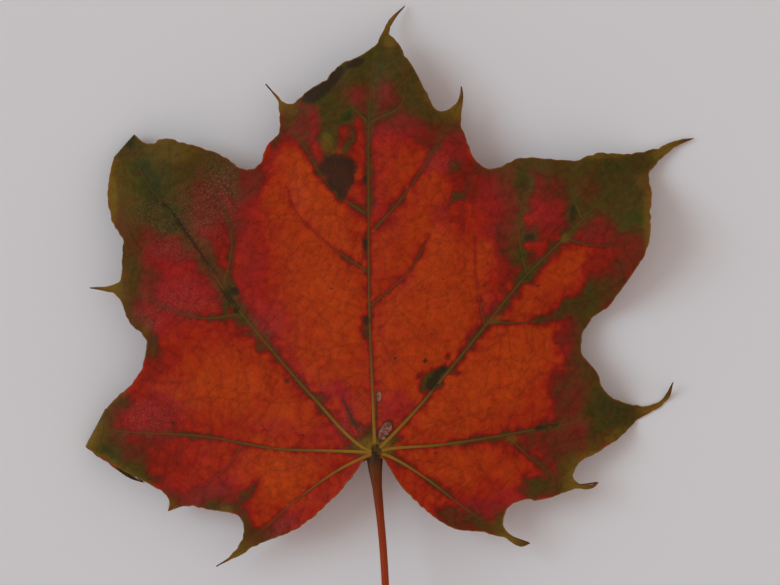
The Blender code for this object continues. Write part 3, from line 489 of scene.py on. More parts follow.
@dataclass
class LeafPlan:
    """The leaf laid out flat in millimetres, and how it lies in space."""

    thickness: float = 0.36
    margin_step: float = 0.6
    vein_step: float = 0.8
    pucker: float = 0.7
    pucker_reach: float = 4.0
    quilt: float = 0.14
    quilt_reach: float = 1.3
    ripple: float = 0.35
    ripple_reach: float = 3.5
    ripple_wave: float = 11.0
    wear: float = 0.22
    wear_wave: float = 4.2
    wear_most: float = 0.4
    fine_wear: float = 0.6
    fine_wear_share: float = 2.5
    wear_fade: float = 4.0
    wear_bare: float = 0.6
    height_ease: float = 20.0
    side_room: float = 0.07
    fold_reach: float = 13.0
    folds: tuple = ((FOLD_HIGH, 2.0, radians(172)), (FOLD_LOW, 2.0, radians(170)))
    fine_lines: Near | None = None
    main_lines: Near = field(init=False)
    margin: np.ndarray = field(init=False)
    margin_line: Near = field(init=False)
    plate: Callable = field(init=False)
    hub: np.ndarray = field(init=False)

    def __post_init__(self) -> None:
        """Work out the margin, the veins' lines, the arched surface and the hub's place."""
        _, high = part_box(NODE)
        self.hub = np.array((high.x / MM - R_HIGH[0] - self.side_room, high.y / MM - T_END[1], 0.0))
        loop = []
        for run in MARGIN:
            loop += smooth_run(run, self.margin_step)[:-1]
        self.margin = self._worn(plan_array(loop))
        self.margin_line = Near(self.margin)
        self.main_lines = Near(np.vstack([self.line(vein) for vein in MAIN_VEINS + SIDE_VEINS]))
        self.plate = self._arched_plate()

    def _worn(self, loop: np.ndarray) -> np.ndarray:
        """The margin with its small irregular steps, fading out towards its sharp points.

        Args:
            loop: rows of plan points round the margin.

        Returns:
            The same points, moved in or out a little.
        """
        sharp = np.array([run[0] for run in MARGIN])
        gaps = np.hypot(*(loop[:, None, :] - sharp[None, :, :]).T).min(axis=0)
        along = np.roll(loop, -1, axis=0) - np.roll(loop, 1, axis=0)
        out = np.column_stack((along[:, 1], -along[:, 0])) / np.hypot(*along.T)[:, None]
        fine = drift(loop, self.wear_wave / self.fine_wear_share, Seed.FINE_WEAR)
        steps = drift(loop, self.wear_wave, Seed.WEAR) + self.fine_wear * fine
        away = np.clip(gaps / self.wear_fade - self.wear_bare, 0, 1)
        amount = self.wear * away * np.minimum(steps, self.wear_most)
        return loop + amount[:, None] * out

    def line(self, vein: Sequence[Point]) -> np.ndarray:
        """Points along one vein."""
        return plan_array(smooth_run(vein, self.vein_step))

    def _arched_plate(self) -> Callable:
        """A thin plate bent through the noted heights.

        Returns:
            A function from rows of plan points to heights.
        """
        notes = np.array(HEIGHTS, dtype=float)

        def bend(points: np.ndarray) -> np.ndarray:
            """How much each noted height bends the plate at some points."""
            squares = ((points[:, None, :] - notes[None, :, :2]) ** 2).sum(axis=2)
            return squares * np.log(squares + TINY)

        flat = np.column_stack((np.ones(len(notes)), notes[:, :2]))
        system = np.block([[bend(notes[:, :2]) + self.height_ease * np.eye(len(notes)), flat],
                           [flat.T, np.zeros((3, 3))]])
        weights = np.linalg.solve(system, np.append(notes[:, 2], (0, 0, 0)))
        return lambda points: np.column_stack(
            (bend(points), np.ones(len(points)), points)) @ weights

    def lay(self, plan: np.ndarray) -> np.ndarray:
        """Where the upper face lies, with the ends of two lobes folded under.

        Args:
            plan: rows of plan points.

        Returns:
            Rows of x, y and height, in millimetres from the hub.
        """
        foot, place = plan.copy(), plan.copy()
        drop = np.zeros(len(plan))
        under = np.zeros(len(plan), dtype=bool)
        for (first, second), radius, turn in self.folds:
            along = np.subtract(second, first)
            along = along / np.hypot(*along)
            out = np.array((-along[1], along[0]))
            middle = np.add(first, second) / 2 - radius * out
            reach, side = (plan - middle) @ out, (plan - middle) @ along
            past = (reach > 0) & (abs(side) < self.fold_reach)
            angle = np.minimum(reach / radius, turn)[past]
            straight = np.maximum(reach - radius * turn, 0)[past]
            foot[past] = plan[past] - reach[past, None] * out
            shift = radius * np.sin(angle) + straight * cos(turn)
            place[past] = foot[past] + shift[:, None] * out
            drop[past] = radius * (1 - np.cos(angle)) + straight * sin(turn)
            under[past] = angle > pi / 2
        height = self.plate(foot) + self._relief(foot) - drop
        height = np.maximum(height, np.where(under, 0.0, self.thickness))
        return np.column_stack((place, height))

    def _relief(self, plan: np.ndarray) -> np.ndarray:
        """The low relief of the blade: puckers between veins and a rippled margin.

        Args:
            plan: rows of plan points.

        Returns:
            The height that the relief adds at each point.
        """
        relief = self.pucker * (1 - np.exp(-(self.main_lines.spacing(plan)
                                             / self.pucker_reach) ** 2))
        edge = np.exp(-(self.margin_line.spacing(plan) / self.ripple_reach) ** 2)
        relief += self.ripple * edge * drift(plan, self.ripple_wave, Seed.RIPPLE)
        if self.fine_lines is not None:
            near = self.fine_lines.spacing(plan)
            relief += self.quilt * (1 - np.exp(-(near / self.quilt_reach) ** 2))
        return relief

    def holds(self, point: np.ndarray) -> bool:
        """Whether the flat blade holds a plan point.

        Args:
            point: the plan point.

        Returns:
            True where a line from it to one side crosses the margin an odd number of times.
        """
        x, y = point
        x0, y0 = self.margin.T
        x1, y1 = np.roll(self.margin, -1, axis=0).T
        level = np.where(y1 == y0, 1.0, y1 - y0)
        crosses = ((y0 > y) != (y1 > y)) & (x < (x1 - x0) * (y - y0) / level + x0)
        return crosses.sum() % 2 == 1

    def world(self, places: np.ndarray) -> np.ndarray:
        """Places in metres in the frame, from millimetres from the hub."""
        return (places + self.hub) * MM


@dataclass
class Vein:
    """One vein: its line in the plan, how it ranks and whether it ends in a dry tip."""

    line: np.ndarray
    order: Order
    hair_tip: bool = False
    taper: float = 0.75

    def __post_init__(self) -> None:
        """End a dry tip just inside the blade's own."""
        if self.hair_tip:
            self.line[-1] += (self.line[-2] - self.line[-1]) / 2

    def share(self) -> np.ndarray:
        """How far along each point is, from 0 to 1."""
        steps = np.hypot(*np.diff(self.line, axis=0).T)
        return np.concatenate(([0.0], np.cumsum(steps))) / max(steps.sum(), TINY)

    def tip(self, length: float) -> np.ndarray:
        """How near each point is to a dry tip of some length, from 0 to 1."""
        left = (1 - self.share()) * np.hypot(*np.diff(self.line, axis=0).T).sum()
        return np.clip(1 - left / length, 0, 1) * self.hair_tip

    def sizes(self) -> tuple[np.ndarray, np.ndarray]:
        """Half width and rise at each point."""
        share = self.share() ** self.taper
        return tuple(root + (end - root) * share for root, end in VEIN_SIZES[self.order])


@dataclass
class VeinTree:
    """The net of veins: the drawn ones, and finer ones grown between them."""

    plan: LeafPlan
    seed: int = 11
    fine_gap: float = 6.2
    hair_gap: float = 3.3
    grow_step: float = 0.9
    fine_turn: float = radians(62)
    hair_turn: float = radians(78)
    turn_spread: Point = (0.85, 1.12)
    wobble: float = 0.13
    curl: float = 0.012
    room: float = 0.8
    start_room: float = 1.28
    margin_room: float = 0.5
    shortest: int = 3
    longest: int = 34
    veins: list[Vein] = field(default_factory=list)

    def grow(self) -> list[Vein]:
        """Lay the drawn veins and grow the finer ones.

        Returns:
            Every vein, the stoutest first.
        """
        for vein in MAIN_VEINS:
            self.veins.append(Vein(self.plan.line(vein), Order.MAIN, True))
        for vein in SIDE_VEINS:
            tipped = vein[-1] in (T_LEFT, T_RIGHT, L_TOOTH, R_TOOTH, L_SPUR)
            self.veins.append(Vein(self.plan.line(vein), Order.SIDE, tipped))
        chance = np.random.default_rng(self.seed)
        drawn = list(self.veins)
        for parent in drawn:
            self._branch(parent, Order.FINE, self.fine_gap, self.fine_turn, chance)
        for parent in list(self.veins):
            self._branch(parent, Order.HAIR, self.hair_gap, self.hair_turn, chance)
        return self.veins

    def _branch(self, parent: Vein, order: Order, gap: float, turn: float,
                chance: np.random.Generator) -> None:
        """Grow branches from both sides of a vein.

        Args:
            parent: the vein that they leave.
            order: what they are.
            gap: the distance between branches on one side.
            turn: the angle that they leave at.
            chance: the source of random numbers.
        """
        step = np.hypot(*np.diff(parent.line, axis=0).T).mean()
        hop = max(2, round(gap / step / 2))
        side = 1
        for i in range(hop, len(parent.line) - 2, hop):
            side = -side
            i = min(len(parent.line) - 2, i + int(chance.integers(0, 2)))
            ahead = parent.line[i + 1] - parent.line[i - 1]
            away = side * turn * chance.uniform(*self.turn_spread)
            heading = np.arctan2(ahead[1], ahead[0]) + away
            line = self._reach_out(parent.line[i], heading, side, chance)
            if len(line) > self.shortest:
                self.veins.append(Vein(line, order))

    def _reach_out(self, start: np.ndarray, heading: float, side: int,
                   chance: np.random.Generator) -> np.ndarray:
        """Grow one branch until it meets another vein or the margin.

        Args:
            start: the plan point that it leaves.
            heading: the angle that it leaves at.
            side: 1 to the left of its parent, -1 to the right.
            chance: the source of random numbers.

        Returns:
            Rows of plan points.
        """
        others = np.vstack([vein.line for vein in self.veins])
        others = others[np.hypot(*(others - start).T) > self.start_room]
        line = [start]
        for count in range(self.longest):
            heading += chance.normal(0, self.wobble) - side * self.curl
            point = line[-1] + self.grow_step * np.array((cos(heading), sin(heading)))
            to_margin = np.hypot(*(self.plan.margin - point).T).min()
            if to_margin < self.margin_room or not self.plan.holds(point):
                break
            line.append(point)
            gaps = np.hypot(*(others - point).T)
            if count and gaps.min() < self.room:
                line.append(others[gaps.argmin()])
                break
        return np.array(line)


@dataclass
class LeafColours:
    """Where each autumn colour, stain and mark lies on the leaf."""

    plan: LeafPlan
    base_age: float = 0.22
    soft: float = 0.68
    mark_soft: float = 0.6
    gold_soft: float = 0.5
    tip_length: float = 4.5
    tip_age: float = 0.92
    tip_gold: float = 0.8
    tip_gold_place: float = 1.3
    tip_gold_reach: float = 0.7
    wander: float = 0.9
    wander_wave: float = 7.0
    edge_wander: float = 0.4
    edge_wave: float = 2.3
    stain_wander: float = 0.22
    stain_wave: float = 2.4
    flank_spread: float = 0.45
    flank_least: float = 0.15
    flank_reach: float = 3.0
    flank_wave: float = 4.0
    flank_cover: float = 0.92
    flank_gaps: float = 0.4
    flank_gap_wave: float = 6.0

    def _patch(self, points: np.ndarray, patch: Sequence[float], soft: float) -> np.ndarray:
        """How strongly an oval patch covers each point.

        Args:
            points: rows of plan points.
            patch: its middle, half length, half width and tilt in degrees.
            soft: the share of its size over which it fades.

        Returns:
            A cover from 0 to 1 for each point.
        """
        x, y, long, wide, tilt = patch[:5]
        turn = radians(tilt)
        away = points - (x, y)
        along = away @ (cos(turn), sin(turn)) / long
        across = away @ (-sin(turn), cos(turn)) / wide
        edge = np.clip((1 + soft - np.hypot(along, across)) / (2 * soft), 0, 1)
        return edge * edge * (3 - 2 * edge)

    def _cover(self, points: np.ndarray, patches: Sequence, soft: float) -> np.ndarray:
        """The strongest of several patches at each point.

        Args:
            points: rows of plan points.
            patches: the patches, each with its amount last.
            soft: the share of their size over which they fade.

        Returns:
            An amount from 0 to 1 for each point.
        """
        total = np.zeros(len(points))
        for patch in patches:
            total = np.maximum(total, patch[5] * self._patch(points, patch, soft))
        return total

    def _stray(self, points: np.ndarray, reach: float, wave: float, across: Seed,
               along: Seed) -> np.ndarray:
        """How far a patch's edge strays from its oval at each point.

        Args:
            points: rows of plan points.
            reach: the usual distance.
            wave: the usual length of a wave of the edge.
            across: the waves that move it in x.
            along: the waves that move it in y.

        Returns:
            Rows of shifts.
        """
        return reach * np.column_stack((drift(points, wave, across), drift(points, wave, along)))

    def _flank_age(self, age: np.ndarray, points: np.ndarray) -> np.ndarray:
        """Age the blade beside the veins.

        Args:
            age: the age so far at each point.
            points: rows of plan points.

        Returns:
            The age with the veins' flanks.
        """
        for veins, flanks in ((MAIN_VEINS, MAIN_FLANKS), (SIDE_VEINS, SIDE_FLANKS)):
            for index, start, end, width, value in flanks:
                line = self.plan.line(veins[index])
                part = line[int(start * len(line)):max(int(end * len(line)), 2)]
                room = self.flank_reach * width
                near = ((points > part.min(axis=0) - room)
                        & (points < part.max(axis=0) + room)).all(axis=1)
                here = points[near]
                swell = self.flank_spread * drift(here, self.flank_wave, Seed.FLANK_WIDTH, index)
                width = np.maximum(width * (1 + swell), self.flank_least)
                cover = np.exp(-(Near(part).spacing(here) / width) ** 2)
                gaps = self.flank_gaps * drift(here, self.flank_gap_wave, Seed.FLANK_COVER, index)
                cover *= np.clip(self.flank_cover + gaps, 0, 1)
                age[near] += (value - age[near]) * cover
        return age

    def layers(self, points: np.ndarray) -> dict[Layer, np.ndarray]:
        """The painted layers at some plan points.

        Args:
            points: rows of plan points.

        Returns:
            Rows of three numbers for each layer.
        """
        moved = points + self._stray(points, self.wander, self.wander_wave,
                                     Seed.WANDER_X, Seed.WANDER_Y)
        moved += self._stray(points, self.edge_wander, self.edge_wave, Seed.EDGE_X, Seed.EDGE_Y)
        nudged = points + self._stray(points, self.stain_wander, self.stain_wave,
                                      Seed.STAIN_X, Seed.STAIN_Y)
        age = np.full(len(points), self.base_age)
        for patch in AGE_PATCHES:
            age = age + (patch[5] - age) * self._patch(moved, patch, self.soft)
        age = self._flank_age(age, points)
        blush = self._cover(moved, BLUSH_PATCHES, self.mark_soft)
        stain = self._cover(nudged, STAIN_PATCHES, self.mark_soft)
        gold = self._cover(points, GOLD_PATCHES, self.gold_soft)
        away = np.min([np.hypot(*(points - tip).T) for tip in TIPS], axis=0)
        dry = np.clip(1 - away / self.tip_length, 0, 1)
        age = age + (self.tip_age - age) * np.clip(2 - away / self.tip_length, 0, 1)
        ring = (away / self.tip_length - self.tip_gold_place) / self.tip_gold_reach
        gold = np.maximum(gold, self.tip_gold * np.exp(-ring ** 2))
        # Where the pebbled skin is glossier and bumpier, and where a paler colour is painted on it
        # as sheen
        pebbled_sheen = self._cover(moved, PEBBLED_SHEEN_PATCHES, self.mark_soft)
        edge = self.plan.margin_line.spacing(points)
        main = self.plan.main_lines.spacing(points)
        fine = self.plan.fine_lines.spacing(points)
        return {Layer.PAINT: np.column_stack((age, blush, stain)),
                Layer.MARKS: np.column_stack((gold, dry, pebbled_sheen)),
                Layer.LINES: np.column_stack((edge, main, fine)),
                Layer.WHERE: np.column_stack((points, np.zeros(len(points))))}


def write_layers(mesh: bpy.types.Mesh, layers: dict[Layer, np.ndarray]) -> None:
    """Store painted layers on a mesh's points.

    Args:
        mesh: the mesh.
        layers: rows of three numbers for each layer.
    """
    for layer, rows in layers.items():
        attribute = mesh.attributes.new(layer.value, "FLOAT_VECTOR", "POINT")
        attribute.data.foreach_set("vector", rows.astype(np.float32).ravel())


def settle(piece: bpy.types.Object) -> bpy.types.Mesh:
    """Take the finished shape of a curve, or of an object with modifiers, and drop the object.

    Args:
        piece: the object, not yet in the scene.

    Returns:
        Its shape as a mesh.
    """
    bpy.context.scene.collection.objects.link(piece)
    mesh = bpy.data.meshes.new_from_object(
        piece.evaluated_get(bpy.context.evaluated_depsgraph_get()))
    bpy.data.objects.remove(piece)
    return mesh


def adopt(piece: bpy.types.Object) -> bpy.types.Object:
    """Put a finished piece in the scene, riding on the leaf's body and standing for its node.

    Args:
        piece: the finished piece.

    Returns:
        The same piece.
    """
    bpy.context.scene.collection.objects.link(piece)
    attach(piece, "root")
    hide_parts(NODE)
    return piece


class Wire:
    """One output of a shader node, with Python's operators for its sums."""

    def __init__(self, bench: "Bench", socket: bpy.types.NodeSocket) -> None:
        """Keep the bench that it belongs to and its socket."""
        self.bench = bench
        self.socket = socket

    def _sum(self, operation: str, first: "Wire | float", second: "Wire | float") -> "Wire":
        """Add a Math node on two values."""
        return self.bench.node("ShaderNodeMath", {"operation": operation}, {0: first, 1: second})

    def __add__(self, other: "Wire | float") -> "Wire":
        """Sum of two values."""
        return self._sum("ADD", self, other)

    __radd__ = __add__

    def __sub__(self, other: "Wire | float") -> "Wire":
        """Difference of two values."""
        return self._sum("SUBTRACT", self, other)

    def __rsub__(self, other: "Wire | float") -> "Wire":
        """Difference of a number and this value."""
        return self._sum("SUBTRACT", other, self)

    def __mul__(self, other: "Wire | float") -> "Wire":
        """Product of two values."""
        return self._sum("MULTIPLY", self, other)

    __rmul__ = __mul__

    def __truediv__(self, other: "Wire | float") -> "Wire":
        """Quotient of two values."""
        return self._sum("DIVIDE", self, other)

    def __rtruediv__(self, other: "Wire | float") -> "Wire":
        """Quotient of a number and this value."""
        return self._sum("DIVIDE", other, self)

    def most(self, other: "Wire | float") -> "Wire":
        """The larger of two values."""
        return self._sum("MAXIMUM", self, other)

    def rise(self, low: float, high: float) -> "Wire":
        """A smooth step from 0 at one value to 1 at another."""
        return self.bench.node("ShaderNodeMapRange", {"interpolation_type": "SMOOTHSTEP"},
                               {"Value": self, "From Min": low, "From Max": high})

    def fall(self, low: float, high: float) -> "Wire":
        """A smooth step from 1 at one value to 0 at another."""
        return 1.0 - self.rise(low, high)

    def part(self, index: int) -> "Wire":
        """One of the three parts of a vector."""
        return self.bench.node("ShaderNodeSeparateXYZ", {}, {0: self}, index)


class Bench:
    """One material, or the sky, in the making."""

    def __init__(self, owner: bpy.types.Material | bpy.types.World, shader: str) -> None:
        """Start on the nodes of a material or a world.

        Args:
            owner: the material or world.
            shader: the name of the node that it starts with.
        """
        owner.use_nodes = True
        self.owner = owner
        self.tree = owner.node_tree
        self.shader = self.tree.nodes[shader]

    @classmethod
    def material(cls, name: str) -> "Bench":
        """A bench with a new material."""
        return cls(bpy.data.materials.new(name), "Principled BSDF")

    def node(self, kind: str, settings: dict, inputs: dict, output: int | str = 0) -> Wire:
        """Add any node.

        Args:
            kind: the node's type.
            settings: its settings, a ramp's stops among them, which are set first.
            inputs: values or wires of its inputs.
            output: the output that is wanted.

        Returns:
            That output.
        """
        made = self.tree.nodes.new(kind)
        for name, value in settings.items():
            if name == "stops":
                self._fill_ramp(made.color_ramp, value)
            else:
                setattr(made, name, value)
        self._plug(made, inputs)
        return Wire(self, made.outputs[output])

    def _plug(self, node: bpy.types.Node, inputs: dict) -> None:
        """Feed a node.

        Args:
            node: the node.
            inputs: values or wires of its inputs.
        """
        for key, value in inputs.items():
            if isinstance(value, Wire):
                self.tree.links.new(value.socket, node.inputs[key])
            else:
                node.inputs[key].default_value = value

    def _fill_ramp(self, ramp: bpy.types.ColorRamp, stops: Stops) -> None:
        """Set the stops of a colour ramp.

        Args:
            ramp: the ramp.
            stops: places and colours, first to last.
        """
        while len(ramp.elements) < len(stops):
            ramp.elements.new(1.0)
        for element, (place, colour) in zip(ramp.elements, stops):
            element.position = place
            element.color = seen(colour)

    def layer(self, layer: Layer) -> Wire:
        """A painted layer of the piece, as a vector."""
        return self.node("ShaderNodeAttribute", {"attribute_name": layer.value}, {}, "Vector")

    def parts(self, layer: Layer) -> tuple[Wire, ...]:
        """The three values of a painted layer."""
        whole = self.layer(layer)
        return tuple(whole.part(index) for index in range(3))

    def noise(self, where: Wire, wave: float, detail: float) -> Wire:
        """Cloudy noise of about -0.5 to 0.5 whose blotches are a wave long."""
        return self.node("ShaderNodeTexNoise", {}, {
            "Vector": where, "Scale": 1.0 / wave, "Detail": detail}) - 0.5

    def waver(self, where: Wire, scale: float, detail: float, reach: float) -> Wire:
        """Coordinates moved to and fro, so that a pattern's lines waver.

        Args:
            where: plan coordinates in millimetres.
            scale: how many times it turns in a millimetre.
            detail: how rough it is.
            reach: how far it moves a point.

        Returns:
            The moved coordinates.
        """
        clouds = self.node("ShaderNodeTexNoise", {}, {
            "Vector": where, "Scale": scale, "Detail": detail}, "Color")
        return self.node("ShaderNodeVectorMath", {"operation": "MULTIPLY_ADD"}, {
            0: clouds, 1: (reach, reach, 0.0), 2: where})

    def cells(self, where: Wire, size: float, feature: str, output: str) -> Wire:
        """Irregular cells of a size, as random colours or distances."""
        return self.node("ShaderNodeTexVoronoi", {"feature": feature}, {
            "Vector": where, "Scale": 1.0 / size}, output)

    def length(self, vector: Wire) -> Wire:
        """The length of a vector."""
        return self.node("ShaderNodeVectorMath", {"operation": "LENGTH"}, {0: vector}, "Value")

    def ramp(self, place: Wire, stops: Stops) -> Wire:
        """A colour read from a row of colours."""
        return self.node("ShaderNodeValToRGB", {"stops": stops}, {0: place})

    def mix(self, share: Wire | float, first: Wire | tuple, second: Wire | tuple) -> Wire:
        """A colour between two others."""
        return self.node("ShaderNodeMix", {"data_type": "RGBA"}, {0: share, 6: first, 7: second}, 2)

    def tint(self, colour: Wire, share: Wire | float, other: Colour) -> Wire:
        """A colour turned towards another one by a share."""
        return self.mix(share, colour, seen(other))

    def scale(self, colour: Wire | tuple, factor: Wire | float) -> Wire:
        """A colour made brighter or darker."""
        return self.node("ShaderNodeVectorMath", {"operation": "SCALE"},
                         {0: colour, "Scale": factor})

    def finish(self, colour: Wire, roughness: Wire, height: Wire,
               gloss: float) -> bpy.types.Material:
        """Feed the shader of a material.

        Args:
            colour: the surface colour.
            roughness: the roughness.
            height: the relief in millimetres.
            gloss: the level of clear reflection.

        Returns:
            The material.
        """
        bump = self.node("ShaderNodeBump", {}, {"Height": height, "Distance": MM, "Strength": 1.0})
        self._plug(self.shader, {"Base Color": colour, "Roughness": roughness, "Normal": bump,
                                 "Specular IOR Level": gloss, "Metallic": 0.0})
        return self.owner

    def shine(self, colour: Colour, strength: Wire) -> None:
        """Feed the background of a world.

        Args:
            colour: the light's colour, from 0 to 1.
            strength: how bright it is.
        """
        self._plug(self.shader, {"Color": (*colour, 1.0), "Strength": strength})


@dataclass(frozen=True)
class LeafFinish:
    """What the skins of the leaf share: its colours, as they look where it is lit.

    Waves, sizes and widths are in millimetres. A share is how strongly something shows, and an
    edge is the two values between which it fades.
    """

    ages: Stops = (
        (0.00, (160, 53, 8)), (0.14, (150, 43, 8)), (0.28, (140, 27, 10)),
        (0.42, (113, 25, 12)), (0.58, (86, 36, 15)), (0.74, (74, 47, 14)),
        (0.90, (62, 53, 13)), (1.00, (45, 47, 14)),
    )
    crimson: Colour = (140, 25, 31)
    gold: Colour = (112, 84, 20)
    hair_tip: Colour = (62, 34, 26)
    stain: Colour = (41, 29, 16)
    cloud_wave: float = 9.0
    cloud_share: float = 0.24
    grain_wave: float = 2.2
    grain_share: float = 0.26
    field_size: float = 2.7
    field_share: float = 0.07
    blush_share: float = 0.765
    blush_grain: float = 0.68
    gold_share: float = 0.8
    dry_share: float = 0.85
    ragged_wave: float = 1.3
    ragged_share: float = 1.1
    crumb_wave: float = 0.5
    crumb_share: float = 0.25
    stain_edge: Point = (0.16, 0.72)
    cell: float = 1.15
    cell_turns: float = 0.9
    cell_bend: float = 0.7
    skin_wave: float = 0.6
    sheen_wave: float = 1.5

    def pigment(self, bench: Bench, where: Wire) -> Wire:
        """The blade's own colour from its painted layers.

        Args:
            bench: the material in the making.
            where: plan coordinates in millimetres.

        Returns:
            The colour.
        """
        age, blush, _ = bench.parts(Layer.PAINT)
        gold, dry, _ = bench.parts(Layer.MARKS)
        clouds = self.cloud_share * bench.noise(where, self.cloud_wave, 3.0)
        grain = bench.noise(where, self.grain_wave, 4.0)
        fields = bench.cells(where, self.field_size, "F1", "Color").part(0) - 0.5
        age = age + clouds + self.grain_share * grain + self.field_share * fields
        colour = bench.ramp(age, self.ages)
        blush = blush * (self.blush_share + self.blush_grain * grain)
        colour = bench.tint(colour, blush, self.crimson)
        colour = bench.tint(colour, gold * self.gold_share, self.gold)
        return bench.tint(colour, dry * self.dry_share, self.hair_tip)

    def stained(self, bench: Bench, where: Wire) -> Wire:
        """How brown and dead the blade is, in blotches with ragged edges.

        Args:
            bench: the material in the making.
            where: plan coordinates in millimetres.

        Returns:
            A share from 0 to 1.
        """
        ragged = self.ragged_share * bench.noise(where, self.ragged_wave, 4.0)
        crumbs = self.crumb_share * bench.noise(where, self.crumb_wave, 2.0)
        stain = bench.layer(Layer.PAINT).part(2) * (1.0 + ragged + crumbs)
        return stain.rise(*self.stain_edge)

    def cell_lines(self, bench: Bench, where: Wire) -> Wire:
        """Distance from the lines of the finest net."""
        bent = bench.waver(where, self.cell_turns, 2.0, self.cell_bend)
        return bench.cells(bent, self.cell, "DISTANCE_TO_EDGE", "Distance")


@dataclass(frozen=True)
class UpperFinish(LeafFinish):
    """The skin of the upper face, with its net, scars, freckles, tan rim and painted sheen on its
    pebbled parts.
    """

    rim: Colour = (118, 72, 26)
    streak: Colour = (52, 38, 20)
    scar: Colour = (134, 88, 74)
    scar_shade: Colour = (84, 44, 34)
    pebbled_sheen: Colour = (116, 78, 64)
    brightness: float = 0.94
    tone_share: float = 0.14
    net_share: float = 0.10
    net_width: float = 0.16
    shade_wave: float = 3.5
    shade_share: float = 0.30
    beside_width: float = 0.75
    beside_share: float = 0.22
    beside_wave: float = 4.0
    beside_clouds: float = 0.3
    pebble: float = 0.8
    pebble_edge: Point = (0.03, 0.22)
    painted_sheen_share: float = 0.40
    stain_share: float = 0.93
    speck_gap: float = 3.4
    speck_edge: Point = (0.035, 0.085)
    speck_choice: Point = (0.44, 0.52)
    speck_age: Point = (0.3, 0.5)
    speck_share: float = 0.7
    rim_edge: Point = (0.12, 0.42)
    rim_share: float = 0.75
    oval_turns: float = 1.1
    oval_bend: float = 1.3
    streak_spots: tuple[Spot, ...] = ((-5.9, 8.9, 6.3, 0.5, 115), (0.5, 10.6, 5.6, 0.36, 91))
    streak_edge: Point = (0.5, 1.2)
    streak_share: float = 0.8
    scar_spots: tuple[Spot, ...] = ((2.5, 5.5, 2.7, 1.45, 58), (0.95, 14.1, 1.5, 0.62, 84))
    scar_edge: Point = (0.72, 1.0)
    scar_rim_edge: Point = (1.0, 1.35)
    scar_rim_share: float = 0.75
    flake_wave: float = 0.9
    flake_edge: Point = (-0.12, 0.16)
    rough: float = 0.54
    rough_share: float = 0.12
    sheen_smooth: float = 0.06
    net_slope: float = 0.5
    relief: float = 0.05
    gloss: float = 0.09

    def oval(self, bench: Bench, where: Wire, spot: Spot) -> Wire:
        """Distance from the middle of a slanting oval with an uneven edge.

        Args:
            bench: the material in the making.
            where: plan coordinates in millimetres.
            spot: its middle, half length, half width and tilt in degrees.

        Returns:
            The distance, 1 at its edge.
        """
        x, y, long, wide, tilt = spot
        bend = self.oval_bend
        place = bench.node("ShaderNodeMapping", {"vector_type": "TEXTURE"}, {
            "Vector": bench.waver(where, self.oval_turns, 3.0, bend),
            "Location": (x + bend / 2, y + bend / 2, 0.0),
            "Rotation": (0.0, 0.0, radians(tilt)), "Scale": (long, wide, 1.0)})
        return bench.length(place)

    def specks(self, bench: Bench, where: Wire) -> Wire:
        """Small dark freckles, on the orange parts alone.

        Args:
            bench: the material in the making.
            where: plan coordinates in millimetres.

        Returns:
            A share from 0 to 1.
        """
        away = bench.cells(where, self.speck_gap, "F1", "Distance")
        chance = bench.cells(where, self.speck_gap, "F1", "Color").part(1)
        orange = bench.layer(Layer.PAINT).part(0).fall(*self.speck_age)
        return away.fall(*self.speck_edge) * chance.rise(*self.speck_choice) * orange

    def scarred(self, bench: Bench, where: Wire, colour: Wire) -> Wire:
        """Draw the dark streaks beside the midrib and the pale scars at the hub.

        Args:
            bench: the material in the making.
            where: plan coordinates in millimetres.
            colour: the colour so far.

        Returns:
            The colour with the streaks and scars.
        """
        for spot in self.streak_spots:
            streak = self.oval(bench, where, spot).fall(*self.streak_edge)
            colour = bench.tint(colour, streak * self.streak_share, self.streak)
        flake = bench.noise(where, self.flake_wave, 4.0).rise(*self.flake_edge)
        flesh = bench.mix(flake, seen(self.scar), seen(self.scar_shade))
        for spot in self.scar_spots:
            away = self.oval(bench, where, spot)
            rim = away.fall(*self.scar_rim_edge) * self.scar_rim_share
            colour = bench.tint(colour, rim, self.stain)
            colour = bench.mix(away.fall(*self.scar_edge), colour, flesh)
        return colour

    def skin(self) -> bpy.types.Material:
        """Make the material.

        Returns:
            The material.
        """
        bench = Bench.material("leaf upper face")
        where = bench.layer(Layer.WHERE)
        pebbled_sheen = bench.layer(Layer.MARKS).part(2)
        to_margin, _, to_fine = bench.parts(Layer.LINES)
        edge = self.cell_lines(bench, where)
        tone = self.tone_share * bench.cells(where, self.cell, "F1", "Color").part(0)
        net = self.net_share * edge.fall(0.0, self.net_width)
        clouds = self.shade_share * bench.noise(where, self.shade_wave, 4.0)
        uneven = self.beside_clouds * bench.noise(where, self.beside_wave, 1.0)
        beside = to_fine.fall(0.0, self.beside_width) * (self.beside_share + uneven)
        shade = self.brightness + tone - net + clouds - beside
        colour = bench.scale(self.pigment(bench, where), shade)
        pebble = bench.cells(where, self.pebble, "DISTANCE_TO_EDGE", "Distance")
        pebble = pebble.rise(*self.pebble_edge)
        # Painted sheen: the pebbled parts turn towards a paler, greyer colour, as where they catch
        # the light
        colour = bench.tint(colour, pebbled_sheen * pebble * self.painted_sheen_share, self.pebbled_sheen)
        specks = self.speck_share * self.specks(bench, where)
        stain = self.stained(bench, where).most(specks)
        colour = bench.tint(colour, stain * self.stain_share, self.stain)
        colour = self.scarred(bench, where, colour)
        rim = to_margin.fall(*self.rim_edge)
        colour = bench.tint(colour, rim * self.rim_share, self.rim)
        sheen = self.rough_share * bench.noise(where, self.sheen_wave, 2.0)
        roughness = self.rough + sheen - self.sheen_smooth * pebbled_sheen
        bumps = edge.rise(0.0, self.net_slope) + bench.noise(where, self.skin_wave, 2.0)
        height = self.relief * (bumps + pebbled_sheen * pebble)
        return bench.finish(colour, roughness, height, self.gloss)


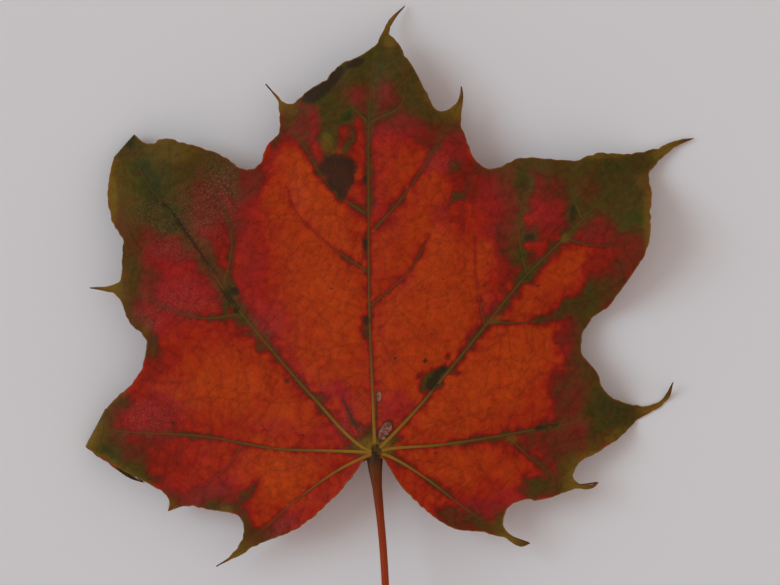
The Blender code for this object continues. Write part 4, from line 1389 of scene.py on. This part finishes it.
@dataclass(frozen=True)
class UnderFinish(LeafFinish):
    """The paler, matt skin of the underside."""

    pale: Colour = (186, 96, 60)
    pale_green: Colour = (126, 104, 60)
    green_edge: Point = (0.45, 0.85)
    pale_share: float = 0.40
    net_share: float = 0.30
    net_width: float = 0.2
    vein_share: float = 0.15
    vein_width: float = 0.8
    gold_kept: float = 0.75
    stain_share: float = 0.8
    brightness: float = 0.98
    shade_wave: float = 4.0
    shade_share: float = 0.25
    rough: float = 0.68
    rough_share: float = 0.1
    net_relief: float = 0.10
    relief: float = 0.04
    gloss: float = 0.054

    def skin(self) -> bpy.types.Material:
        """Make the material.

        Returns:
            The material.
        """
        bench = Bench.material("leaf underside")
        where = bench.layer(Layer.WHERE)
        net = self.cell_lines(bench, where).fall(0.0, self.net_width)
        veins = bench.layer(Layer.LINES).part(2).fall(0.0, self.vein_width)
        kept = 1.0 - self.gold_kept * bench.layer(Layer.MARKS).part(0)
        share = (self.pale_share + self.net_share * net + self.vein_share * veins) * kept
        green = bench.layer(Layer.PAINT).part(0).rise(*self.green_edge)
        pale = bench.mix(green, seen(self.pale), seen(self.pale_green))
        colour = bench.mix(share, self.pigment(bench, where), pale)
        stain = self.stained(bench, where) * self.stain_share
        colour = bench.tint(colour, stain, self.stain)
        clouds = self.shade_share * bench.noise(where, self.shade_wave, 3.0)
        colour = bench.scale(colour, self.brightness + clouds)
        roughness = self.rough + self.rough_share * bench.noise(where, self.sheen_wave, 2.0)
        bumps = self.relief * bench.noise(where, self.skin_wave, 2.0)
        return bench.finish(colour, roughness, self.net_relief * net + bumps, self.gloss)


@dataclass(frozen=True)
class VeinFinish(LeafFinish):
    """The veins, yellow and stout at the hub and like the blade where they are fine, with painted
    shade on the sides of their ridges.
    """

    vein: Colour = (134, 94, 24)
    far_vein: Colour = (92, 66, 20)
    vein_side_shade: Colour = (64, 42, 16)
    fine_vein: Colour = (84, 18, 10)
    rib: Colour = (184, 124, 78)
    fine_share: float = 0.55
    fine_fade: float = 0.5
    fine_edge: Point = (0.1, 0.5)
    stout_edge: Point = (0.05, 0.95)
    own_wave: float = 3.0
    own_share: float = 0.855
    own_clouds: float = 0.45
    far_edge: Point = (3.0, 26.0)
    side_shade_edge: Point = (0.84, 0.98)
    stain_share: float = 0.8
    rib_edge: Point = (-0.2, 0.1)
    rib_share: float = 0.8
    shade_wave: float = 0.8
    shade_share: float = 0.25
    rough: float = 0.48
    rough_wave: float = 1.0
    rough_share: float = 0.15
    relief: float = 0.05
    gloss: float = 0.09

    def skin(self) -> bpy.types.Material:
        """Make the material.

        Returns:
            The material.
        """
        bench = Bench.material("leaf veins")
        where = bench.layer(Layer.WHERE)
        stout, tip, lift = bench.parts(Layer.RANK)
        fine = self.fine_share - self.fine_fade * stout.rise(*self.fine_edge)
        colour = bench.tint(self.pigment(bench, where), fine, self.fine_vein)
        far = bench.length(where).rise(*self.far_edge)
        own = bench.mix(far, seen(self.vein), seen(self.far_vein))
        # Painted shade: the sides of each vein's ridge are darker than its top
        own = bench.mix(lift.rise(*self.side_shade_edge), seen(self.vein_side_shade), own)
        clouds = self.own_clouds * bench.noise(where, self.own_wave, 2.0)
        share = stout.rise(*self.stout_edge) * (self.own_share + clouds)
        colour = bench.mix(share, colour, own)
        stain = self.stained(bench, where) * self.stain_share
        colour = bench.tint(colour, stain, self.stain)
        colour = bench.tint(colour, lift.fall(*self.rib_edge) * self.rib_share, self.rib)
        colour = bench.tint(colour, tip, self.hair_tip)
        shade = self.shade_share * bench.noise(where, self.shade_wave, 3.0)
        colour = bench.scale(colour, 1.0 + shade)
        roughness = self.rough + self.rough_share * bench.noise(where, self.rough_wave, 2.0)
        height = self.relief * bench.noise(where, self.crumb_wave, 2.0)
        return bench.finish(colour, roughness, height, self.gloss)


@dataclass(frozen=True)
class StalkFinish:
    """The skin of the stalk: dark at the hub, then red-brown, with lengthwise streaks."""

    stops: Stops = (
        (0.00, (66, 40, 24)), (0.05, (48, 26, 20)), (0.085, (54, 30, 16)), (0.11, (80, 38, 8)),
        (0.16, (94, 34, 6)), (0.26, (122, 40, 6)), (0.45, (136, 48, 10)),
        (0.90, (126, 46, 12)), (1.00, (96, 54, 26)),
    )
    length: float = 100.0
    stretch: tuple[float, float, float] = (2.4, 2.4, 0.10)
    streak_wave: float = 0.5
    place_share: float = 0.03
    shade_share: float = 1.1
    rough: float = 0.42
    rough_share: float = 0.3
    relief: float = 0.16
    gloss: float = 0.12

    def skin(self) -> bpy.types.Material:
        """Make the material.

        Returns:
            The material.
        """
        bench = Bench.material("leaf stalk")
        where = bench.layer(Layer.STALK)
        drawn = bench.node("ShaderNodeVectorMath", {"operation": "MULTIPLY"},
                           {0: where, 1: self.stretch})
        streak = bench.noise(drawn, self.streak_wave, 4.0)
        place = where.part(2) / self.length + self.place_share * streak
        colour = bench.scale(bench.ramp(place, self.stops), 1.0 + self.shade_share * streak)
        roughness = self.rough + self.rough_share * streak
        return bench.finish(colour, roughness, self.relief * streak, self.gloss)


@dataclass(frozen=True)
class FloorFinish:
    """The pale floor that the leaf lies on, with a grain that hardly shows."""

    pale: Colour = (198, 194, 195)
    grain_wave: float = 0.4
    shade_share: float = 0.02
    rough: float = 0.8
    rough_share: float = 0.1
    relief: float = 0.01
    gloss: float = 0.2

    def skin(self) -> bpy.types.Material:
        """Make the material.

        Returns:
            The material.
        """
        bench = Bench.material("pale floor")
        where = bench.node("ShaderNodeTexCoord", {}, {}, "Object")
        grain = bench.noise(where, self.grain_wave * MM, 2.0)
        colour = bench.scale(seen(self.pale)[:3], 1.0 + self.shade_share * grain)
        roughness = self.rough + self.rough_share * grain
        return bench.finish(colour, roughness, self.relief * grain, self.gloss)


@dataclass
class Blade:
    """The blade: a thin waved sheet with its two folded lobe ends."""

    plan: LeafPlan
    colours: LeafColours
    upper: UpperFinish
    under: UnderFinish
    cell: float = 0.62
    weld: float = 0.05
    cut_snap: float = 1e-4
    sharp: float = radians(60)

    def _flat_sheet(self) -> bmesh.types.BMesh:
        """The margin filled in one face and cut into small cells.

        Returns:
            The flat sheet, in millimetres.
        """
        shape = bmesh.new()
        ring = [shape.verts.new((x, y, 0.0)) for x, y in self.plan.margin]
        edges = [shape.edges.new(pair) for pair in zip(ring, ring[1:] + ring[:1])]
        bmesh.ops.contextual_create(shape, geom=edges)
        low, high = self.plan.margin.min(axis=0), self.plan.margin.max(axis=0)
        for axis in (0, 1):
            across = Vector((1 - axis, axis, 0))
            for place in np.arange(low[axis] + self.cell / 2, high[axis], self.cell):
                bmesh.ops.bisect_plane(shape, geom=[*shape.verts, *shape.edges, *shape.faces],
                                       dist=self.cut_snap, plane_co=across * place,
                                       plane_no=across)
        bmesh.ops.remove_doubles(shape, verts=shape.verts, dist=self.weld)
        if sum(face.normal.z for face in shape.faces) < 0:
            bmesh.ops.reverse_faces(shape, faces=shape.faces)
        return shape

    def build(self) -> bpy.types.Object:
        """Make the blade.

        Returns:
            The finished piece.
        """
        shape = self._flat_sheet()
        mesh = bpy.data.meshes.new("blade")
        shape.to_mesh(mesh)
        shape.free()
        flat = np.empty(len(mesh.vertices) * 3, dtype=np.float32)
        mesh.vertices.foreach_get("co", flat)
        points = flat.reshape(-1, 3)[:, :2].astype(float)
        places = self.plan.world(self.plan.lay(points))
        mesh.vertices.foreach_set("co", places.astype(np.float32).ravel())
        write_layers(mesh, self.colours.layers(points))
        mesh.materials.append(self.upper.skin())
        mesh.materials.append(self.under.skin())
        sheet = bpy.data.objects.new("sheet", mesh)
        solidify = sheet.modifiers.new("thickness", "SOLIDIFY")
        solidify.thickness = self.plan.thickness * MM
        solidify.offset = -1
        solidify.material_offset = 1
        solid = settle(sheet)
        solid.name = "blade"
        solid.shade_smooth()
        solid.set_sharp_from_angle(angle=self.sharp)
        return adopt(bpy.data.objects.new("blade", solid))


@dataclass
class VeinNet:
    """The veins as tapering ridges, low on the upper face and prominent below."""

    plan: LeafPlan
    colours: LeafColours
    finish: VeinFinish
    probe: float = 0.15
    stoutest: float = 0.55
    hair_length: float = 4.5
    weld: float = 0.002

    def _centres(self, line: np.ndarray, width: np.ndarray,
                 height: np.ndarray) -> tuple[np.ndarray, np.ndarray, np.ndarray]:
        """The middle line of the veins in space, their radii and which way the upper face looks.

        Args:
            line: rows of plan points along the veins.
            width: the half width at each point.
            height: the rise above the blade at each point.

        Returns:
            Rows of places in millimetres from the hub, one radius for each, and rows of
            directions.
        """
        across = np.array((self.probe, 0.0))
        upward = np.array((0.0, self.probe))
        middle = self.plan.lay(line)
        run = self.plan.lay(line + across) - self.plan.lay(line - across)
        rise = self.plan.lay(line + upward) - self.plan.lay(line - upward)
        normal = np.cross(run, rise)
        normal /= np.maximum(np.linalg.norm(normal, axis=1), TINY)[:, None]
        radius = (width ** 2 + height ** 2) / (2 * height)
        centres = middle - normal * (radius - height)[:, None]
        centres[:, 2] = np.maximum(centres[:, 2], radius)
        return centres, radius, normal

    def _tubes(self, veins: list[Vein], places: np.ndarray, radius: np.ndarray,
               sides: int) -> bpy.types.Mesh:
        """Lay a tapering tube along each vein.

        Args:
            veins: the veins.
            places: rows of places in metres, vein after vein.
            radius: one radius in millimetres for each place.
            sides: how finely each tube is rounded.

        Returns:
            The tubes, each of them closed.
        """
        curve = bpy.data.curves.new("tubes", "CURVE")
        curve.dimensions = "3D"
        curve.bevel_depth = MM
        curve.bevel_resolution = sides
        curve.use_fill_caps = True
        start = 0
        for vein in veins:
            spline = curve.splines.new("POLY")
            spline.points.add(len(vein.line) - 1)
            for i, point in enumerate(spline.points, start):
                point.co = (*places[i], 1.0)
                point.radius = radius[i]
            start += len(vein.line)
        mesh = settle(bpy.data.objects.new("tubes", curve))
        shape = bmesh.new()
        shape.from_mesh(mesh)
        bmesh.ops.remove_doubles(shape, verts=shape.verts, dist=self.weld * MM)
        bmesh.ops.recalc_face_normals(shape, faces=shape.faces)
        shape.to_mesh(mesh)
        shape.free()
        return mesh

    def build(self, name: str, veins: list[Vein], sides: int) -> bpy.types.Object:
        """Make one piece of some veins.

        Args:
            name: the piece's name.
            veins: the veins in it.
            sides: how finely each is rounded.

        Returns:
            The finished piece.
        """
        line = np.vstack([vein.line for vein in veins])
        width = np.concatenate([vein.sizes()[0] for vein in veins])
        height = np.concatenate([vein.sizes()[1] for vein in veins])
        tip = np.concatenate([vein.tip(self.hair_length) for vein in veins])
        centres, radius, normal = self._centres(line, width, height)
        places = self.plan.world(centres)
        mesh = self._tubes(veins, places, radius, sides)
        skin = np.array([vert.co for vert in mesh.vertices])
        nearest = Near(places).nearest(skin)
        stout = np.minimum(1.0, width / self.stoutest)
        lift = ((skin - places[nearest]) * normal[nearest]).sum(axis=1) / radius[nearest] / MM
        layers = {layer: rows[nearest] for layer, rows in self.colours.layers(line).items()}
        layers[Layer.RANK] = np.column_stack((stout[nearest], tip[nearest], lift))
        write_layers(mesh, layers)
        mesh.name = name
        mesh.materials.append(self.finish.skin())
        mesh.shade_smooth()
        return adopt(bpy.data.objects.new(name, mesh))


@dataclass
class Stalk:
    """The stalk: flared at the hub, ridged along its length and swollen at its foot."""

    plan: LeafPlan
    finish: StalkFinish
    sides: int = 28
    step: float = 1.1
    slim: float = 0.97
    ridge: float = 0.05
    ridges: int = 7
    foot_inset: float = 0.45
    foot_hollow: float = 0.5
    sharp: float = radians(50)

    def _stations(self) -> list[Matrix]:
        """Where each ring goes: a place, a direction and a radius.

        Returns:
            One matrix for each ring, from the hub to the foot, in millimetres.
        """
        knots = np.array(STALK)
        points = smooth_run([knot[:3] for knot in STALK], self.step)
        stations = []
        for i, point in enumerate(points):
            ahead = points[min(i + 1, len(points) - 1)] - points[max(i - 1, 0)]
            radius = self.slim * float(np.interp(-point.y, -knots[:, 1], knots[:, 3]))
            turn = ahead.to_track_quat("Z", "Y").to_matrix().to_4x4()
            stations.append(Matrix.Translation(point) @ turn @ Matrix.Scale(radius, 4))
        return stations

    def build(self) -> bpy.types.Object:
        """Make the stalk.

        Returns:
            The finished piece.
        """
        shape = bmesh.new()
        where = shape.verts.layers.float_vector.new(Layer.STALK.value)
        bmesh.ops.create_circle(shape, cap_ends=False, segments=self.sides, radius=1.0)
        for vert in shape.verts:
            around = np.arctan2(vert.co.y, vert.co.x)
            vert[where] = (cos(around), sin(around), 0.0)
            vert.co *= 1 - self.ridge + self.ridge * cos(self.ridges * around)
        stations = self._stations()
        bmesh.ops.transform(shape, matrix=stations[0], verts=shape.verts)
        bmesh.ops.contextual_create(shape, geom=shape.edges)
        ring = list(shape.edges)
        gone = 0.0
        for old, new in zip(stations, stations[1:]):
            made = bmesh.ops.extrude_edge_only(shape, edges=ring)["geom"]
            verts = [part for part in made if isinstance(part, bmesh.types.BMVert)]
            ring = [part for part in made if isinstance(part, bmesh.types.BMEdge)
                    and all(vert in verts for vert in part.verts)]
            bmesh.ops.transform(shape, matrix=new @ old.inverted(), verts=verts)
            gone += (new.translation - old.translation).length
            for vert in verts:
                vert[where] = (vert[where][0], vert[where][1], gone)
        foot = bmesh.ops.contextual_create(shape, geom=ring)["faces"]
        bmesh.ops.recalc_face_normals(shape, faces=shape.faces)
        bmesh.ops.inset_region(shape, faces=foot, thickness=self.foot_inset, depth=0.0)
        bmesh.ops.inset_region(shape, faces=foot, thickness=self.foot_inset,
                               depth=-self.foot_hollow)
        home = Matrix.Translation(Vector(self.plan.hub) * MM) @ Matrix.Scale(MM, 4)
        bmesh.ops.transform(shape, matrix=home, verts=shape.verts)
        mesh = bpy.data.meshes.new("stalk")
        shape.to_mesh(mesh)
        shape.free()
        mesh.materials.append(self.finish.skin())
        mesh.shade_smooth()
        mesh.set_sharp_from_angle(angle=self.sharp)
        return adopt(bpy.data.objects.new("stalk", mesh))


@dataclass
class Studio:
    """The pale floor, the soft light from the left and the camera overhead."""

    plan: LeafPlan
    finish: FloorFinish
    floor_size: float = 3.0
    floor_squares: int = 4
    floor_drop: float = 0.1
    sun_strength: float = 0.934
    sun_colour: Colour = (0.633, 0.883, 1.0)
    sun_angle: float = radians(34)
    sun_height: float = radians(40)
    sun_towards: Point = (0.966, -0.26)
    sky_low: float = 0.644
    sky_high: float = 0.436
    sky_turn: float = 0.2
    sky_colour: Colour = (1.0, 0.907, 0.864)
    view_width: float = 195.0
    view_centre: Point = (3.75, 39.9)
    leaf_height: float = 9.0
    camera_height: float = 1500.0
    far_limit: float = 10.0
    sensor: float = 36.0

    def build_floor(self) -> None:
        """Lay the floor just below the leaf."""
        shape = bmesh.new()
        bmesh.ops.create_grid(shape, x_segments=self.floor_squares,
                              y_segments=self.floor_squares, size=self.floor_size / 2)
        bmesh.ops.translate(shape, verts=shape.verts, vec=(0, 0, -self.floor_drop * MM))
        mesh = bpy.data.meshes.new("floor")
        shape.to_mesh(mesh)
        shape.free()
        mesh.materials.append(self.finish.skin())
        floor = bpy.data.objects.new("floor", mesh)
        bpy.context.scene.collection.objects.link(floor)

    def build_light(self) -> None:
        """Set a broad soft light from the left and an even sky, darker overhead."""
        light = bpy.data.lights.new("soft light", "SUN")
        light.energy = self.sun_strength
        light.angle = self.sun_angle
        light.color = self.sun_colour
        lamp = bpy.data.objects.new("soft light", light)
        x, y = self.sun_towards
        flat = cos(self.sun_height)
        travel = Vector((x * flat, y * flat, -sin(self.sun_height)))
        lamp.rotation_euler = travel.to_track_quat("-Z", "Y").to_euler()
        bpy.context.scene.collection.objects.link(lamp)
        world = bpy.data.worlds.new("studio")
        bpy.context.scene.world = world
        bench = Bench(world, "Background")
        upward = bench.node("ShaderNodeTexCoord", {}, {}, "Generated").part(2)
        fade = bench.node("ShaderNodeMapRange", {}, {
            "Value": upward, "From Min": self.sky_turn, "From Max": 1.0,
            "To Min": self.sky_low, "To Max": self.sky_high})
        bench.shine(self.sky_colour, fade)

    def build_camera(self) -> None:
        """Hang the camera straight above the leaf."""
        lens = bpy.data.cameras.new("camera")
        lens.sensor_width = self.sensor
        lens.lens = self.sensor * (self.camera_height - self.leaf_height) / self.view_width
        lens.clip_end = self.far_limit
        camera = bpy.data.objects.new("camera", lens)
        x, y = self.plan.hub[:2] + self.view_centre
        camera.location = (x * MM, y * MM, self.camera_height * MM)
        bpy.context.scene.collection.objects.link(camera)
        bpy.context.scene.camera = camera
        bpy.context.scene.view_settings.view_transform = "Standard"


def write_sizes() -> None:
    """Bring the scene up to date."""
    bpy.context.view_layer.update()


def main() -> None:
    """Build the leaf and its studio."""
    logging.basicConfig(level=logging.INFO, format="%(message)s")
    report = logging.getLogger("leaf")
    plan = LeafPlan()
    veins = VeinTree(plan).grow()
    fine = [vein for vein in veins if vein.order in (Order.FINE, Order.HAIR)]
    stout = [vein for vein in veins if vein.order in (Order.MAIN, Order.SIDE)]
    plan.fine_lines = Near(np.vstack([vein.line for vein in fine]))
    colours = LeafColours(plan)
    net = VeinNet(plan, colours, VeinFinish())
    pieces = [
        Blade(plan, colours, UpperFinish(), UnderFinish()).build(),
        net.build("veins", stout, sides=3),
        net.build("vein_net", fine, sides=1),
        Stalk(plan, StalkFinish()).build(),
    ]
    for piece in pieces:
        report.info("%s: %d faces", piece.name, len(piece.data.polygons))
    studio = Studio(plan, FloorFinish())
    studio.build_floor()
    studio.build_light()
    studio.build_camera()
    write_sizes()


if __name__ == "__main__":
    main()
